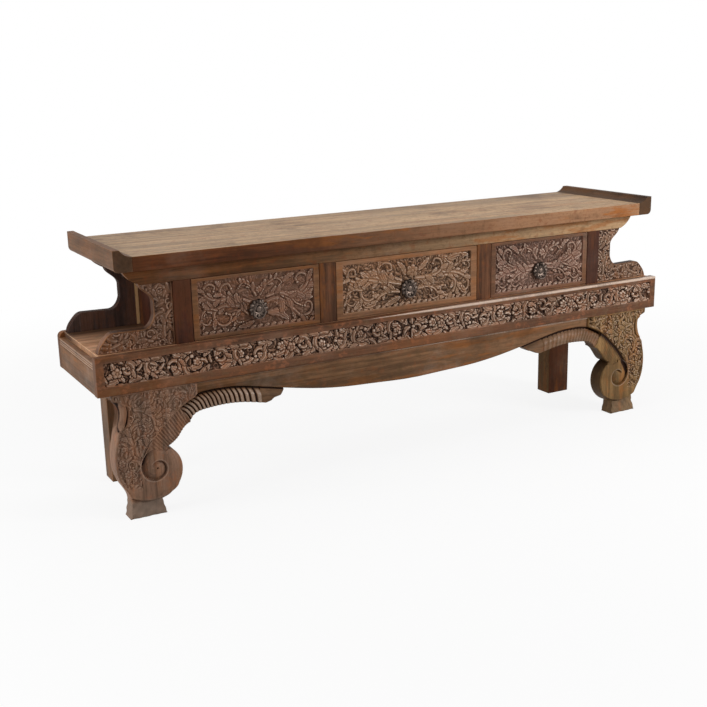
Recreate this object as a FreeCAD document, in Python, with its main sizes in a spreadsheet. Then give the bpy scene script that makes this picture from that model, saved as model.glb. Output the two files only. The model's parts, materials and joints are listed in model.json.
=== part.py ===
"""Carved altar table: a long top with raised end flanges over a case of three drawers,
standing on a carved base frame with scroll front legs and plain square rear legs.

Millimetres. X runs along the table, the front faces -Y, Z is up. The origin lies on the
floor, under the middle of the top.
"""

import FreeCAD, Part
import Sketcher
import math
import os
from FreeCAD import Vector

SHEET_NAME = "Sizes"

# Every driving size of the table, in the order in which the pieces use them.
SIZES = {
    # base frame
    "base_length": 1800,
    "base_depth": 350,
    "leg_height": 332,
    "base_height": 98,
    "frame_board": 24,
    "shelf_thickness": 14,
    "end_step": 14,
    "corner_round": 15,
    "end_edge_round": 9,
    "frieze_border_end": 20,
    "frieze_border_top": 15,
    "frieze_border_bottom": 23,
    "frieze_carving_depth": 10,
    "bearer_width": 40,
    "bearer_height": 36,
    # top
    "top_end_setback": 56,
    "top_overhang": 23,
    "top_thickness": 36,
    "top_seam_offset": 14,
    "flange_width": 47,
    "flange_rise": 18,
    "flange_flat": 17,
    "flange_hollow_radius": 40,
    "flange_round": 14,
    # drawer case
    "end_shelf_reach": 216,
    "case_height": 204,
    "case_front_setback": 25,
    "case_back_setback": 22,
    "stile_width": 46,
    "stile_thickness": 25,
    "divider_width": 48,
    "middle_opening": 460,
    "rail_height": 42,
    "rail_reach": 126,
    "end_panel_thickness": 20,
    "back_panel_thickness": 12,
    "partition_thickness": 18,
    # brackets beside the case
    "bracket_length": 198,
    "bracket_thickness": 24,
    "bracket_setback": 6,
    # drawers
    "drawer_gap": 1.5,
    "drawer_floor_gap": 2,
    "front_thickness": 20,
    "field_border_side": 24,
    "field_border_top": 16,
    "field_border_bottom": 18,
    "field_depth": 7,
    "drawer_back_gap": 11,
    "drawer_side_thickness": 11,
    "drawer_side_inset": 4,
    "drawer_side_drop": 12,
    "drawer_bottom_thickness": 6,
    "drawer_bottom_raise": 8,
    "drawer_groove_depth": 5,
    "groove_clearance": 0.2,
    "runner_height": 6,
    "runner_tread": 16,
    "runner_gap": 0.3,
    "guide_gap": 1,
    "guide_height": 18,
    # drawer pulls
    "pull_drop": 18,
    "plate_radius": 27,
    "plate_thickness": 3,
    "boss_radius": 9,
    "boss_height": 4,
    "eye_rise": 21,
    "eye_reach": 8,
    "eye_radius": 6.4,
    "eye_thickness": 4.6,
    "eye_hole_radius": 3.9,
    "ring_wire_radius": 2,
    "ring_bow_radius": 16,
    "ring_crown_radius": 5,
    "ring_length": 44,
    "ring_sag": 0.7,
    # front legs
    "leg_inset": 32,
    "leg_width": 228,
    "leg_thickness": 50,
    "leg_setback": 3,
    "leg_post_width": 95,
    "leg_post_inset": 30,
    "groove_width": 6,
    "groove_depth": 8,
    # apron and wings
    "apron_depth": 97,
    "apron_thickness": 24,
    "apron_setback": 19,
    "apron_tongue": 28,
    "wing_reach": 244,
    "wing_drop": 42,
    "wing_thickness": 40,
    "wing_setback": 9,
    "wing_seat": 0.3,
    # rear legs
    "rear_leg_width": 81,
    "rear_leg_depth": 60,
    "rear_leg_inset": 100,
    "rear_leg_setback": 1,
    # how far every cutting tool runs past the piece that it cuts
    "overrun": 5,
}

# Lower edge of the apron: share of half its length, share of its depth below the frieze.
APRON_EDGE_SHARES = [
    (0, 1), (0.16, 0.96), (0.34, 0.9), (0.47, 0.8), (0.55, 0.71), (0.62, 0.62),
    (0.75, 0.44), (0.84, 0.34), (0.92, 0.32),
]
# The same line as it crosses the front leg: share of the leg's width from its inner
# edge, share of the leg's height from the floor.
LEG_LINE_SHARES = [(0, 0.892), (0.228, 0.816), (0.412, 0.708), (0.548, 0.611), (0.649, 0.512)]
LEG_SPLIT_SHARE = LEG_LINE_SHARES[1]
# Outline of the front leg in the same shares: its outer side, its foot, its inner side.
LEG_OUTER_SHARES = [
    (0.991, 0.946), (0.935, 0.91), (0.908, 0.843), (0.93, 0.753), (0.965, 0.648),
    (0.996, 0.542), (1, 0.452), (0.982, 0.36), (0.934, 0.277), (0.868, 0.199), (0.842, 0.13),
]
LEG_FOOT_SHARES = [(0.877, 0), (0.452, 0)]
LEG_INNER_SHARES = [(0.114, 0.69), (0.255, 0.602), (0.346, 0.533)]
LEG_SPLIT_FOOT_SHARE = LEG_INNER_SHARES[0]
VOLUTE_CENTRE_SHARE = (0.535, 0.3765)
VOLUTE_RADIUS_SHARE = 0.271
VOLUTE_SHRINK_SHARE = 0.76
# Turns of the scroll, in quarters counted clockwise from its lowest point.
SCROLL_FOOT_QUARTER = 0.08
SCROLL_CREST_QUARTER = 1.62
SCROLL_SIDE_QUARTER = 3
SCROLL_EYE_QUARTER = 6.6
SCROLL_STEP_QUARTER = 0.3
SCROLL_MOUTH_QUARTER = 1.47
GROOVE_TAPER_SHARE = 0.5

# Lower edge of the wing: share of its length from its free end, share of its drop below
# the apron's edge there.
WING_TIP_SHARES = [(0, 0.1), (0.05, 0.44), (0.112, 0.62), (0.143, 0.83), (0.194, 0.99)]
WING_EDGE_SHARES = [(0.194, 0.99), (0.28, 0.98), (0.42, 0.98), (0.6, 1), (0.75, 1.04), (0.86, 1.06)]

# Ends of the top rail: share of its reach past the case, share of its height.
RAIL_NOSE_SHARES = [(1, 0.857), (0.944, 0.595), (0.873, 0.357), (0.714, 0.048), (0.68, 0)]
# Free edge of a bracket: shares of its length and of its height, from the top down.
BRACKET_SHOULDER_SHARES = [(0.433, 1), (0.379, 0.895), (0.293, 0.802), (0.258, 0.71)]
BRACKET_COVE_SHARES = [(0.258, 0.494), (0.278, 0.42), (0.333, 0.333), (0.42, 0.3)]
BRACKET_TOE_SHARES = [(0.763, 0.309), (0.838, 0.29), (0.909, 0.21), (0.97, 0.11), (1, 0)]

doc = FreeCAD.newDocument("altar_table")
sheet = doc.addObject("Spreadsheet::Sheet", SHEET_NAME)
nodes = []


def fill_sheet():
    """Write each size as plain text beside its name, and give the cell that name."""
    for row, (name, value) in enumerate(SIZES.items(), start=1):
        sheet.set("A%d" % row, name)
        sheet.set("B%d" % row, str(value))
        sheet.setAlias("B%d" % row, name)
    doc.recompute()


def bound(formula):
    """A formula in size names as an expression on the sheet."""
    words = formula.replace("(", " ( ").replace(")", " ) ").split()
    text = " ".join("%s.%s" % (SHEET_NAME, word) if word in SIZES else word for word in words)
    return text.replace("sqrt (", "sqrt(")


def value(formula):
    """The number that a formula in size names gives now."""
    return float(sheet.evalExpression(formula))


def share_point(origin, size, share):
    """The point at a share of a size from an origin, in the front view."""
    return Vector(origin[0] + size[0] * share[0], 0, origin[1] + size[1] * share[1])


# Heights and planes that several pieces share, as formulas in size names.
BASE_TOP = "leg_height + base_height"
SHELF_UNDER = "leg_height + base_height - shelf_thickness"
CASE_TOP = "leg_height + base_height + case_height"
RAIL_UNDER = "leg_height + base_height + case_height - rail_height"
TOP_FACE = "leg_height + base_height + case_height + top_thickness"
BASE_FRONT = "0 - base_depth / 2"
BASE_INNER = "base_depth / 2 - frame_board"
CASE_FRONT = "case_front_setback - base_depth / 2"
CASE_BACK = "base_depth / 2 - case_back_setback"
STILE_BACK = "case_front_setback - base_depth / 2 + stile_thickness"
CASE_END = "base_length / 2 - end_shelf_reach"
TOP_END = "base_length / 2 - top_end_setback"
TOP_JOINT = "base_length / 2 - top_end_setback - flange_width"
TOP_EDGE = "base_depth / 2 + top_overhang"
OPENING_END = "base_length / 2 - end_shelf_reach - stile_width"
DIVIDER_END = "middle_opening / 2 + divider_width"
PARTITION_MIDDLE = "middle_opening / 2 + divider_width / 2"


def keep(piece, label):
    """Name a finished sub-part and list it for export."""
    piece.Label = label
    nodes.append(piece)
    return piece


def box(name, low, high):
    """A board from its lowest to its highest corner, each given by three formulas."""
    board = doc.addObject("Part::Box", name)
    for prop, start, end in zip(("Length", "Width", "Height"), low, high):
        board.setExpression(prop, bound("( %s ) - ( %s )" % (end, start)))
    for axis, start in zip("xyz", low):
        board.setExpression("Placement.Base.%s" % axis, bound(start))
    return board


def cut(name, base, tool):
    piece = doc.addObject("Part::Cut", name)
    piece.Base = base
    piece.Tool = tool
    return piece


def fuse(name, pieces):
    piece = doc.addObject("Part::MultiFuse", name)
    piece.Shapes = pieces
    return piece


def rounded(name, base, radius, chosen):
    """A copy of a board with the edges that a test picks out rounded to a named radius."""
    doc.recompute()
    piece = doc.addObject("Part::Fillet", name)
    piece.Base = base
    piece.Edges = [
        (number, value(radius), value(radius))
        for number, edge in enumerate(base.Shape.Edges, start=1)
        if chosen(edge)
    ]
    return piece


def mirrored(start, end, side):
    """The two ends of a span along X on the right side, or their mirror images."""
    if side > 0:
        return start, end
    return "0 - ( %s )" % end, "0 - ( %s )" % start


def side_box(name, side, span, low, high):
    """A board on one side: its X span for the right side, then the other two axes."""
    start, end = mirrored(span[0], span[1], side)
    return box(name, (start,) + low, (end,) + high)


def spline(points):
    curve = Part.BSplineCurve()
    curve.interpolate(points)
    return curve


def lines(points):
    return [Part.makeLine(a, b) for a, b in zip(points, points[1:])]


def prism(edges, front, thickness):
    """The solid that a closed front outline fills, from its front face backwards."""
    wire = Part.Wire(Part.__sortEdges__(edges))
    face = Part.Face(wire)
    face.translate(Vector(0, front, 0))
    return face.extrude(Vector(0, thickness, 0))


def outline_piece(label, shape, side):
    """A piece with a free outline, drawn for the right side and mirrored for the left."""
    if side < 0:
        shape = shape.mirror(Vector(0, 0, 0), Vector(1, 0, 0))
    piece = doc.addObject("Part::Feature", label)
    piece.Shape = shape
    piece.Placement = FreeCAD.Placement()
    return keep(piece, label)


SIDES = (("left", -1), ("right", 1))


def build_base_boards():
    """Front and rear frieze boards with rounded top ends, and the end boards."""
    for label, start, end in (
        ("base_front_board", BASE_FRONT, "frame_board - base_depth / 2"),
        ("base_rear_board", BASE_INNER, "base_depth / 2"),
    ):
        board = box(
            label + "_blank",
            ("0 - base_length / 2", start, "leg_height"),
            ("base_length / 2", end, BASE_TOP),
        )
        board = rounded(label + "_rounded", board, "corner_round", is_top_edge_along_depth)
        if label == "base_front_board":
            field = box(
                "frieze_field",
                ("frieze_border_end - base_length / 2", BASE_FRONT + " - overrun",
                 "leg_height + frieze_border_bottom"),
                ("base_length / 2 - frieze_border_end", BASE_FRONT + " + frieze_carving_depth",
                 BASE_TOP + " - frieze_border_top"),
            )
            board = cut(label, board, field)
        keep(board, label)
    middle_of_end_board = value("base_length / 2 - frame_board / 2")
    for word, side in SIDES:
        label = "base_end_board_" + word
        board = side_box(
            label + "_blank", side,
            ("base_length / 2 - frame_board", "base_length / 2"),
            ("frame_board - base_depth / 2", "leg_height"),
            (BASE_INNER, SHELF_UNDER),
        )
        board = rounded(
            label + "_rounded", board, "end_edge_round",
            lambda edge: is_top_edge_along_depth(edge) and abs(edge.Vertexes[0].X) > middle_of_end_board,
        )
        keep(board, label)


def is_top_edge_along_depth(edge):
    """True for the edges along Y at the top of a board of the base."""
    direction = edge.Vertexes[1].Point - edge.Vertexes[0].Point
    along_depth = abs(direction.y) > abs(direction.x) + abs(direction.z)
    return along_depth and edge.Vertexes[0].Z > value("leg_height + base_height / 2")


def build_shelf():
    """Two shelf boards laid on the end boards, and the bearers below them."""
    for word, start, end in (
        ("front", "frame_board - base_depth / 2", "0"),
        ("rear", "0", BASE_INNER),
    ):
        keep(
            box(
                "shelf_board_" + word,
                ("end_step - base_length / 2", start, SHELF_UNDER),
                ("base_length / 2 - end_step", end, BASE_TOP),
            ),
            "shelf_board_" + word,
        )
    for word, side in SIDES:
        keep(
            side_box(
                "cross_bearer_" + word, side,
                (PARTITION_MIDDLE + " - bearer_width / 2", PARTITION_MIDDLE + " + bearer_width / 2"),
                ("frame_board - base_depth / 2", SHELF_UNDER + " - bearer_height"),
                (BASE_INNER, SHELF_UNDER),
            ),
            "cross_bearer_" + word,
        )


def leg_frame():
    """Origin and size of the front leg's outline on the right side."""
    inner = value("base_length / 2 - leg_inset - leg_width")
    return (inner, 0), (value("leg_width"), value("leg_height"))


def on_leg(share):
    origin, size = leg_frame()
    return share_point(origin, size, share)


def swag_points():
    """The line under the apron and down the leg to the scroll, from the middle outwards."""
    half = on_leg((0, 0)).x
    top = value("leg_height")
    apron = [share_point((0, top), (half, -value("apron_depth")), share) for share in APRON_EDGE_SHARES]
    leg = [on_leg(share) for share in LEG_LINE_SHARES]
    return apron + leg + [scroll_point(SCROLL_SIDE_QUARTER)]


def swag_curve():
    """That line from one scroll to the other, in one smooth curve."""
    right = swag_points()
    left = [Vector(-point.x, 0, point.z) for point in right[:0:-1]]
    return spline(left + right)


def swag_edge(start, end):
    """The stretch of the line between two points that lie on it."""
    curve = swag_curve()
    return curve.toShape(curve.parameter(start), curve.parameter(end))


def scroll_point(quarter, offset=0):
    """A point of the scroll's spiral, moved outwards by an offset."""
    centre = on_leg(VOLUTE_CENTRE_SHARE)
    radius = value("leg_height") * VOLUTE_RADIUS_SHARE * VOLUTE_SHRINK_SHARE ** quarter + offset
    angle = -math.pi / 2 * (1 + quarter)
    return Vector(centre.x + radius * math.cos(angle), 0, centre.z + radius * math.sin(angle))


def scroll_points(start, end):
    """Points along the spiral, evenly spaced in turn."""
    count = max(2, round((end - start) / SCROLL_STEP_QUARTER))
    return [scroll_point(start + (end - start) * step / count) for step in range(count + 1)]


def groove_tool(path):
    """A cutter that follows a path on the leg's front face and narrows to its end."""
    half = value("groove_width") / 2
    left = []
    right = []
    for index, point in enumerate(path):
        before = path[max(index - 1, 0)]
        after = path[min(index + 1, len(path) - 1)]
        run = (after - before).normalize()
        across = Vector(-run.z, 0, run.x)
        width = half * (1 - (1 - GROOVE_TAPER_SHARE) * index / (len(path) - 1))
        left.append(point + across * width)
        right.append(point - across * width)
    edges = [spline(left).toShape(), spline(right).toShape()]
    edges += [Part.makeLine(left[0], right[0]), Part.makeLine(left[-1], right[-1])]
    front = value(BASE_FRONT + " + leg_setback - overrun")
    return prism(edges, front, value("overrun + groove_depth"))


def build_front_legs():
    """Scroll legs, each with a post that runs up behind the frieze board."""
    crown = [on_leg((0, 1)), on_leg((LEG_OUTER_SHARES[0][0], 1)), on_leg(LEG_OUTER_SHARES[0])]
    outer = [on_leg(share) for share in LEG_OUTER_SHARES]
    foot = [on_leg(share) for share in LEG_FOOT_SHARES]
    scroll = scroll_points(SCROLL_FOOT_QUARTER, SCROLL_CREST_QUARTER)
    inner = [on_leg(share) for share in LEG_INNER_SHARES]
    split = on_leg(LEG_SPLIT_SHARE)
    shoulder = on_leg(LEG_LINE_SHARES[0])
    edges = lines(crown)
    edges.append(spline(outer).toShape())
    edges += lines([outer[-1]] + foot + [scroll[0]])
    edges.append(spline(scroll).toShape())
    edges.append(spline(inner + [scroll[-1]]).toShape())
    edges.append(Part.makeLine(inner[0], split))
    edges.append(swag_edge(shoulder, split))
    edges.append(Part.makeLine(shoulder, crown[0]))
    body = prism(edges, value(BASE_FRONT + " + leg_setback"), value("leg_thickness"))
    body = body.fuse(leg_post()).removeSplitter()
    path = [on_leg(share) for share in LEG_LINE_SHARES[1:]]
    eye = scroll_points(SCROLL_SIDE_QUARTER, SCROLL_EYE_QUARTER)
    mouth = (scroll_point(SCROLL_MOUTH_QUARTER) + inner[-1]) / 2
    crest = [mouth] + scroll_points(SCROLL_CREST_QUARTER, SCROLL_SIDE_QUARTER)
    body = body.cut(groove_tool(path + eye)).cut(groove_tool(crest))
    for word, side in SIDES:
        outline_piece("front_leg_" + word, body, side)


def leg_post():
    """The square stub at the top of a front leg, against the frieze board's back."""
    front = value("frame_board - base_depth / 2")
    back = value(BASE_FRONT + " + leg_setback + leg_thickness")
    outer = value("base_length / 2 - leg_inset - leg_post_inset")
    width = value("leg_post_width")
    below = value("overrun")
    height = value(SHELF_UNDER + " - leg_height")
    start = Vector(outer - width, front, value("leg_height") - below)
    return Part.makeBox(width, back - front, height + below, start)


def build_apron():
    """The plain shaped board under the frieze, with a tongue up behind it."""
    half = on_leg((0, 0)).x
    top = value("leg_height")
    right = on_leg(LEG_LINE_SHARES[0])
    left = Vector(-right.x, 0, right.z)
    edges = [swag_edge(left, right)]
    edges += lines([right, Vector(half, 0, top), Vector(-half, 0, top), left])
    board = prism(edges, value(BASE_FRONT + " + apron_setback"), value("apron_thickness"))
    front = value("frame_board - base_depth / 2")
    back = value(BASE_FRONT + " + apron_setback + apron_thickness")
    below = value("overrun")
    tongue = Part.makeBox(
        half * 2, back - front, value("apron_tongue") + below, Vector(-half, front, top - below)
    )
    outline_piece("apron_board", board.fuse(tongue).removeSplitter(), 1)


def build_wings():
    """The fluted brackets below the apron, between its lower edge and the scroll legs."""
    split = on_leg(LEG_SPLIT_SHARE)
    foot = on_leg(LEG_SPLIT_FOOT_SHARE)
    tip_x = on_leg((0, 0)).x - value("wing_reach")
    curve = swag_curve()
    tip = point_at(curve, tip_x)

    def hung(share):
        seat_point = point_at(curve, tip_x + (split.x - tip_x) * share[0])
        return seat_point - Vector(0, 0, value("wing_drop") * share[1])

    tip_points = [hung(share) for share in WING_TIP_SHARES]
    edge_points = [hung(share) for share in WING_EDGE_SHARES] + [foot]
    edges = [swag_edge(tip, split)]
    edges += lines([tip] + tip_points)
    edges.append(spline(edge_points).toShape())
    edges.append(Part.makeLine(foot, split))
    seat = value("wing_seat")
    for edge in edges:
        edge.translate(Vector(-seat, 0, -seat))
    wing = prism(edges, value(BASE_FRONT + " + wing_setback"), value("wing_thickness"))
    for word, side in SIDES:
        outline_piece("apron_wing_" + word, wing, side)


def point_at(curve, x):
    """The point of a curve at a given X, where a plane across the table meets it."""
    plane = Part.Plane(Vector(x, 0, 0), Vector(1, 0, 0))
    met = curve.intersect(plane)[0][0]
    return Vector(met.X, met.Y, met.Z)


def build_rear_legs():
    """Plain square posts, notched around the rear board and run up to the shelf."""
    back = "base_depth / 2 - rear_leg_setback"
    front = back + " - rear_leg_depth"
    span = ("base_length / 2 - rear_leg_inset - rear_leg_width", "base_length / 2 - rear_leg_inset")
    for word, side in SIDES:
        post = side_box(
            "rear_leg_post_" + word, side, span, (front, "0"), (back, "leg_height")
        )
        stub = side_box(
            "rear_leg_stub_" + word, side, span, (front, "leg_height"), (BASE_INNER, SHELF_UNDER)
        )
        keep(fuse("rear_leg_" + word, [post, stub]), "rear_leg_" + word)


def build_case():
    """Stiles, dividers, partitions, end panels and back panel of the drawer case."""
    for word, side in SIDES:
        keep(
            side_box(
                "case_stile_" + word, side, (OPENING_END, CASE_END),
                (CASE_FRONT, BASE_TOP), (STILE_BACK, RAIL_UNDER),
            ),
            "case_stile_" + word,
        )
        keep(
            side_box(
                "case_divider_" + word, side, ("middle_opening / 2", DIVIDER_END),
                (CASE_FRONT, BASE_TOP), (STILE_BACK, RAIL_UNDER),
            ),
            "case_divider_" + word,
        )
        keep(
            side_box(
                "case_end_panel_" + word, side,
                (CASE_END + " - end_panel_thickness", CASE_END),
                (STILE_BACK, BASE_TOP), (CASE_BACK + " - bracket_thickness", CASE_TOP),
            ),
            "case_end_panel_" + word,
        )
        keep(
            side_box(
                "case_partition_" + word, side,
                (PARTITION_MIDDLE + " - partition_thickness / 2",
                 PARTITION_MIDDLE + " + partition_thickness / 2"),
                (STILE_BACK, BASE_TOP), (CASE_BACK + " - bracket_thickness", CASE_TOP),
            ),
            "case_partition_" + word,
        )
    keep(
        box(
            "case_back_panel",
            ("0 - ( " + CASE_END + " )", CASE_BACK + " - bracket_thickness", BASE_TOP),
            (CASE_END, CASE_BACK + " - bracket_thickness + back_panel_thickness", RAIL_UNDER),
        ),
        "case_back_panel",
    )


def build_rails():
    """Top rails at the front and the rear, whose shaped ends run out over the brackets."""
    end = value(CASE_END)
    low = value(RAIL_UNDER)
    high = value(CASE_TOP)
    size = (value("rail_reach"), value("rail_height"))
    nose = [share_point((end, low), size, share) for share in RAIL_NOSE_SHARES]
    crown = Vector(nose[0].x, 0, high)
    other = [Vector(-point.x, 0, point.z) for point in nose]
    edges = [spline(nose).toShape(), spline(other).toShape()]
    edges += lines([nose[0], crown, Vector(-crown.x, 0, high), other[0]])
    edges += lines([nose[-1], other[-1]])
    outline_piece("top_rail_front", prism(edges, value(CASE_FRONT), value("stile_thickness")), 1)
    rear = value(CASE_BACK + " - bracket_thickness")
    outline_piece("top_rail_rear", prism(edges, rear, value("bracket_thickness")), 1)


def build_brackets():
    """Carved front brackets and plain rear ones, standing on the shelf beside the case."""
    origin = (value(CASE_END), value(BASE_TOP))
    size = (value("bracket_length"), value(RAIL_UNDER + " - ( " + BASE_TOP + " )"))

    def along(shares):
        return [share_point(origin, size, share) for share in shares]

    shoulder = along(BRACKET_SHOULDER_SHARES)
    cove = along(BRACKET_COVE_SHARES)
    toe = along(BRACKET_TOE_SHARES)
    heel = share_point(origin, size, (0, 0))
    head = share_point(origin, size, (0, 1))
    edges = [spline(shoulder).toShape(), spline(cove).toShape(), spline(toe).toShape()]
    edges += lines([shoulder[-1], cove[0]])
    edges += lines([cove[-1], toe[0]])
    edges += lines([toe[-1], heel, head, shoulder[0]])
    thickness = value("bracket_thickness")
    front = prism(edges, value(CASE_FRONT + " + bracket_setback"), thickness)
    rear = prism(edges, value(CASE_BACK + " - bracket_thickness"), thickness)
    for word, side in SIDES:
        outline_piece("front_bracket_" + word, front, side)
        outline_piece("rear_bracket_" + word, rear, side)


def build_top():
    """Two long planks and the raised flange that caps each of their ends."""
    for word, start, end in (
        ("front", "0 - ( " + TOP_EDGE + " )", "top_seam_offset"),
        ("rear", "top_seam_offset", TOP_EDGE),
    ):
        keep(
            box(
                "top_plank_" + word,
                ("0 - ( " + TOP_JOINT + " )", start, CASE_TOP),
                (TOP_JOINT, end, TOP_FACE),
            ),
            "top_plank_" + word,
        )
    for word, side in SIDES:
        build_flange(word, side)


def build_flange(word, side):
    """An end flange: square blank, rounded below outside, hollowed towards the top."""
    blank = side_box(
        "flange_blank_" + word, side, (TOP_JOINT, TOP_END),
        ("0 - ( " + TOP_EDGE + " )", CASE_TOP), (TOP_EDGE, TOP_FACE + " + flange_rise"),
    )
    outer = side * value(TOP_END)
    eased = rounded(
        "flange_rounded_" + word, blank, "flange_round", lambda edge: is_lower_outer_edge(edge, outer)
    )
    run = "( flange_width - flange_flat )"
    chord = "sqrt( %s * %s + flange_rise * flange_rise )" % (run, run)
    reach = "sqrt( flange_hollow_radius * flange_hollow_radius - ( %s ) * ( %s ) / 4 )" % (chord, chord)
    centre_x = "%s + %s / 2 - flange_rise / ( %s ) * ( %s )" % (TOP_JOINT, run, chord, reach)
    centre_z = "%s + flange_rise / 2 + %s / ( %s ) * ( %s )" % (TOP_FACE, run, chord, reach)
    hollow = doc.addObject("Part::Cylinder", "flange_hollow_" + word)
    hollow.setExpression("Radius", bound("flange_hollow_radius"))
    hollow.setExpression("Height", bound("2 * ( " + TOP_EDGE + " + overrun )"))
    hollow.Placement.Rotation = FreeCAD.Rotation(Vector(1, 0, 0), -90)
    sign = "" if side > 0 else "0 - "
    hollow.setExpression("Placement.Base.x", bound("%s( %s )" % (sign, centre_x)))
    hollow.setExpression("Placement.Base.y", bound("0 - ( " + TOP_EDGE + " ) - overrun"))
    hollow.setExpression("Placement.Base.z", bound(centre_z))
    keep(cut("end_flange_" + word, eased, hollow), "end_flange_" + word)


def is_lower_outer_edge(edge, outer):
    """True for the edge along Y at the bottom of a flange's outer face."""
    start, end = edge.Vertexes[0].Point, edge.Vertexes[1].Point
    level = value(CASE_TOP)
    near = value("flange_round") / 2
    at_edge = all(abs(p.x - outer) < near and abs(p.z - level) < near for p in (start, end))
    return at_edge and abs(end.y - start.y) > near


# Each drawer: its name, the middle and the width of its opening, and the walls that its
# runners are fixed to on the left and the right.
DRAWERS = (
    (
        "left",
        "0 - ( %s + %s ) / 2" % (OPENING_END, DIVIDER_END),
        "( %s ) - ( %s )" % (OPENING_END, DIVIDER_END),
        "end_panel_thickness - ( %s )" % CASE_END,
        "0 - ( %s + partition_thickness / 2 )" % PARTITION_MIDDLE,
    ),
    (
        "middle",
        "0",
        "middle_opening",
        "partition_thickness / 2 - ( %s )" % PARTITION_MIDDLE,
        "%s - partition_thickness / 2" % PARTITION_MIDDLE,
    ),
    (
        "right",
        "( %s + %s ) / 2" % (OPENING_END, DIVIDER_END),
        "( %s ) - ( %s )" % (OPENING_END, DIVIDER_END),
        "%s + partition_thickness / 2" % PARTITION_MIDDLE,
        "%s - end_panel_thickness" % CASE_END,
    ),
)
DRAWER_LOW = BASE_TOP + " + drawer_floor_gap"
DRAWER_HIGH = RAIL_UNDER + " - drawer_gap"
SIDE_LOW = BASE_TOP + " + runner_height + runner_gap"
SIDE_HIGH = RAIL_UNDER + " - drawer_gap - drawer_side_drop"
BOX_FRONT = CASE_FRONT + " + front_thickness"
BOX_BACK = CASE_BACK + " - bracket_thickness - drawer_back_gap"
BOTTOM_LOW = SIDE_LOW + " + drawer_bottom_raise"


def rectangle(body, name, low, high):
    """A rectangle on a body's front plane, its corners tied to formulas."""
    plane = [part for part in body.Origin.OriginFeatures if part.Role == "XZ_Plane"][0]
    sketch = body.newObject("Sketcher::SketchObject", name)
    sketch.AttachmentSupport = (plane, [""])
    sketch.MapMode = "FlatFace"
    corners = [(low[0], low[1]), (high[0], low[1]), (high[0], high[1]), (low[0], high[1])]
    points = [Vector(value(x), value(z), 0) for x, z in corners]
    for index in range(4):
        sketch.addGeometry(Part.LineSegment(points[index], points[(index + 1) % 4]), False)
    for index in range(4):
        sketch.addConstraint(Sketcher.Constraint("Coincident", index, 2, (index + 1) % 4, 1))
    for index in (0, 2):
        sketch.addConstraint(Sketcher.Constraint("Horizontal", index))
    for index in (1, 3):
        sketch.addConstraint(Sketcher.Constraint("Vertical", index))
    for index in (0, 2):
        for kind, formula, start in (
            ("DistanceX", corners[index][0], points[index].x),
            ("DistanceY", corners[index][1], points[index].y),
        ):
            number = sketch.addConstraint(Sketcher.Constraint(kind, -1, 1, index, 1, start))
            sketch.setExpression("Constraints[%d]" % number, bound(formula))
    return sketch


def build_drawer_front(word, half):
    """The drawer front: a board with a sunk field for the carving."""
    label = "drawer_front_" + word
    body = doc.addObject("PartDesign::Body", label + "_body")
    blank = rectangle(
        body, label + "_blank",
        ("0 - ( %s )" % half, DRAWER_LOW), (half, DRAWER_HIGH),
    )
    board = body.newObject("PartDesign::Pad", label + "_board")
    board.Profile = blank
    board.Reversed = True
    board.setExpression("Length", bound("front_thickness"))
    field = rectangle(
        body, label + "_field",
        ("field_border_side - ( %s )" % half, DRAWER_LOW + " + field_border_bottom"),
        ("%s - field_border_side" % half, DRAWER_HIGH + " - field_border_top"),
    )
    pocket = body.newObject("PartDesign::Pocket", label + "_pocket")
    pocket.Profile = field
    pocket.Reversed = False
    pocket.setExpression("Length", bound("field_depth"))
    body.Tip = pocket
    return body


def build_drawer(word, middle, width, left_wall, right_wall):
    """One drawer: front, two grooved sides, back, loose bottom, and its runners."""
    half = "( %s ) / 2 - drawer_gap" % width
    box_half = "( %s ) / 2 - drawer_gap - drawer_side_inset" % width
    front = build_drawer_front(word, half)
    front.setExpression("Placement.Base.x", bound(middle))
    front.setExpression("Placement.Base.y", bound(CASE_FRONT))
    keep(front, "drawer_front_" + word)
    groove_low = BOTTOM_LOW
    groove_high = BOTTOM_LOW + " + drawer_bottom_thickness + groove_clearance"
    for hand, sign in SIDES:
        near = "%s + ( %s - drawer_side_thickness ) * ( %d )" % (middle, box_half, sign)
        far = "%s + ( %s ) * ( %d )" % (middle, box_half, sign)
        low, high = (near, far) if sign > 0 else (far, near)
        name = "drawer_side_%s_%s" % (word, hand)
        blank = box(name + "_blank", (low, BOX_FRONT, SIDE_LOW), (high, BOX_BACK, SIDE_HIGH))
        groove_near = "%s + ( %s - drawer_side_thickness - overrun ) * ( %d )" % (middle, box_half, sign)
        groove_far = "%s + ( %s - drawer_side_thickness + drawer_groove_depth ) * ( %d )" % (
            middle, box_half, sign)
        low, high = (groove_near, groove_far) if sign > 0 else (groove_far, groove_near)
        groove = box(
            name + "_groove", (low, BOX_FRONT + " - overrun", groove_low),
            (high, BOX_BACK + " + overrun", groove_high),
        )
        keep(cut(name, blank, groove), name)
    inner = "%s - drawer_side_thickness" % box_half
    keep(
        box(
            "drawer_back_" + word,
            ("%s - ( %s )" % (middle, inner), BOX_BACK + " - drawer_side_thickness", groove_high),
            ("%s + ( %s )" % (middle, inner), BOX_BACK, SIDE_HIGH),
        ),
        "drawer_back_" + word,
    )
    tongue = "%s + drawer_groove_depth - groove_clearance" % inner
    keep(
        box(
            "drawer_bottom_" + word,
            ("%s - ( %s )" % (middle, tongue), BOX_FRONT, BOTTOM_LOW),
            ("%s + ( %s )" % (middle, tongue), BOX_BACK, BOTTOM_LOW + " + drawer_bottom_thickness"),
        ),
        "drawer_bottom_" + word,
    )
    build_runners(word, middle, box_half, left_wall, right_wall)
    build_pull(word, middle)


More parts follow.
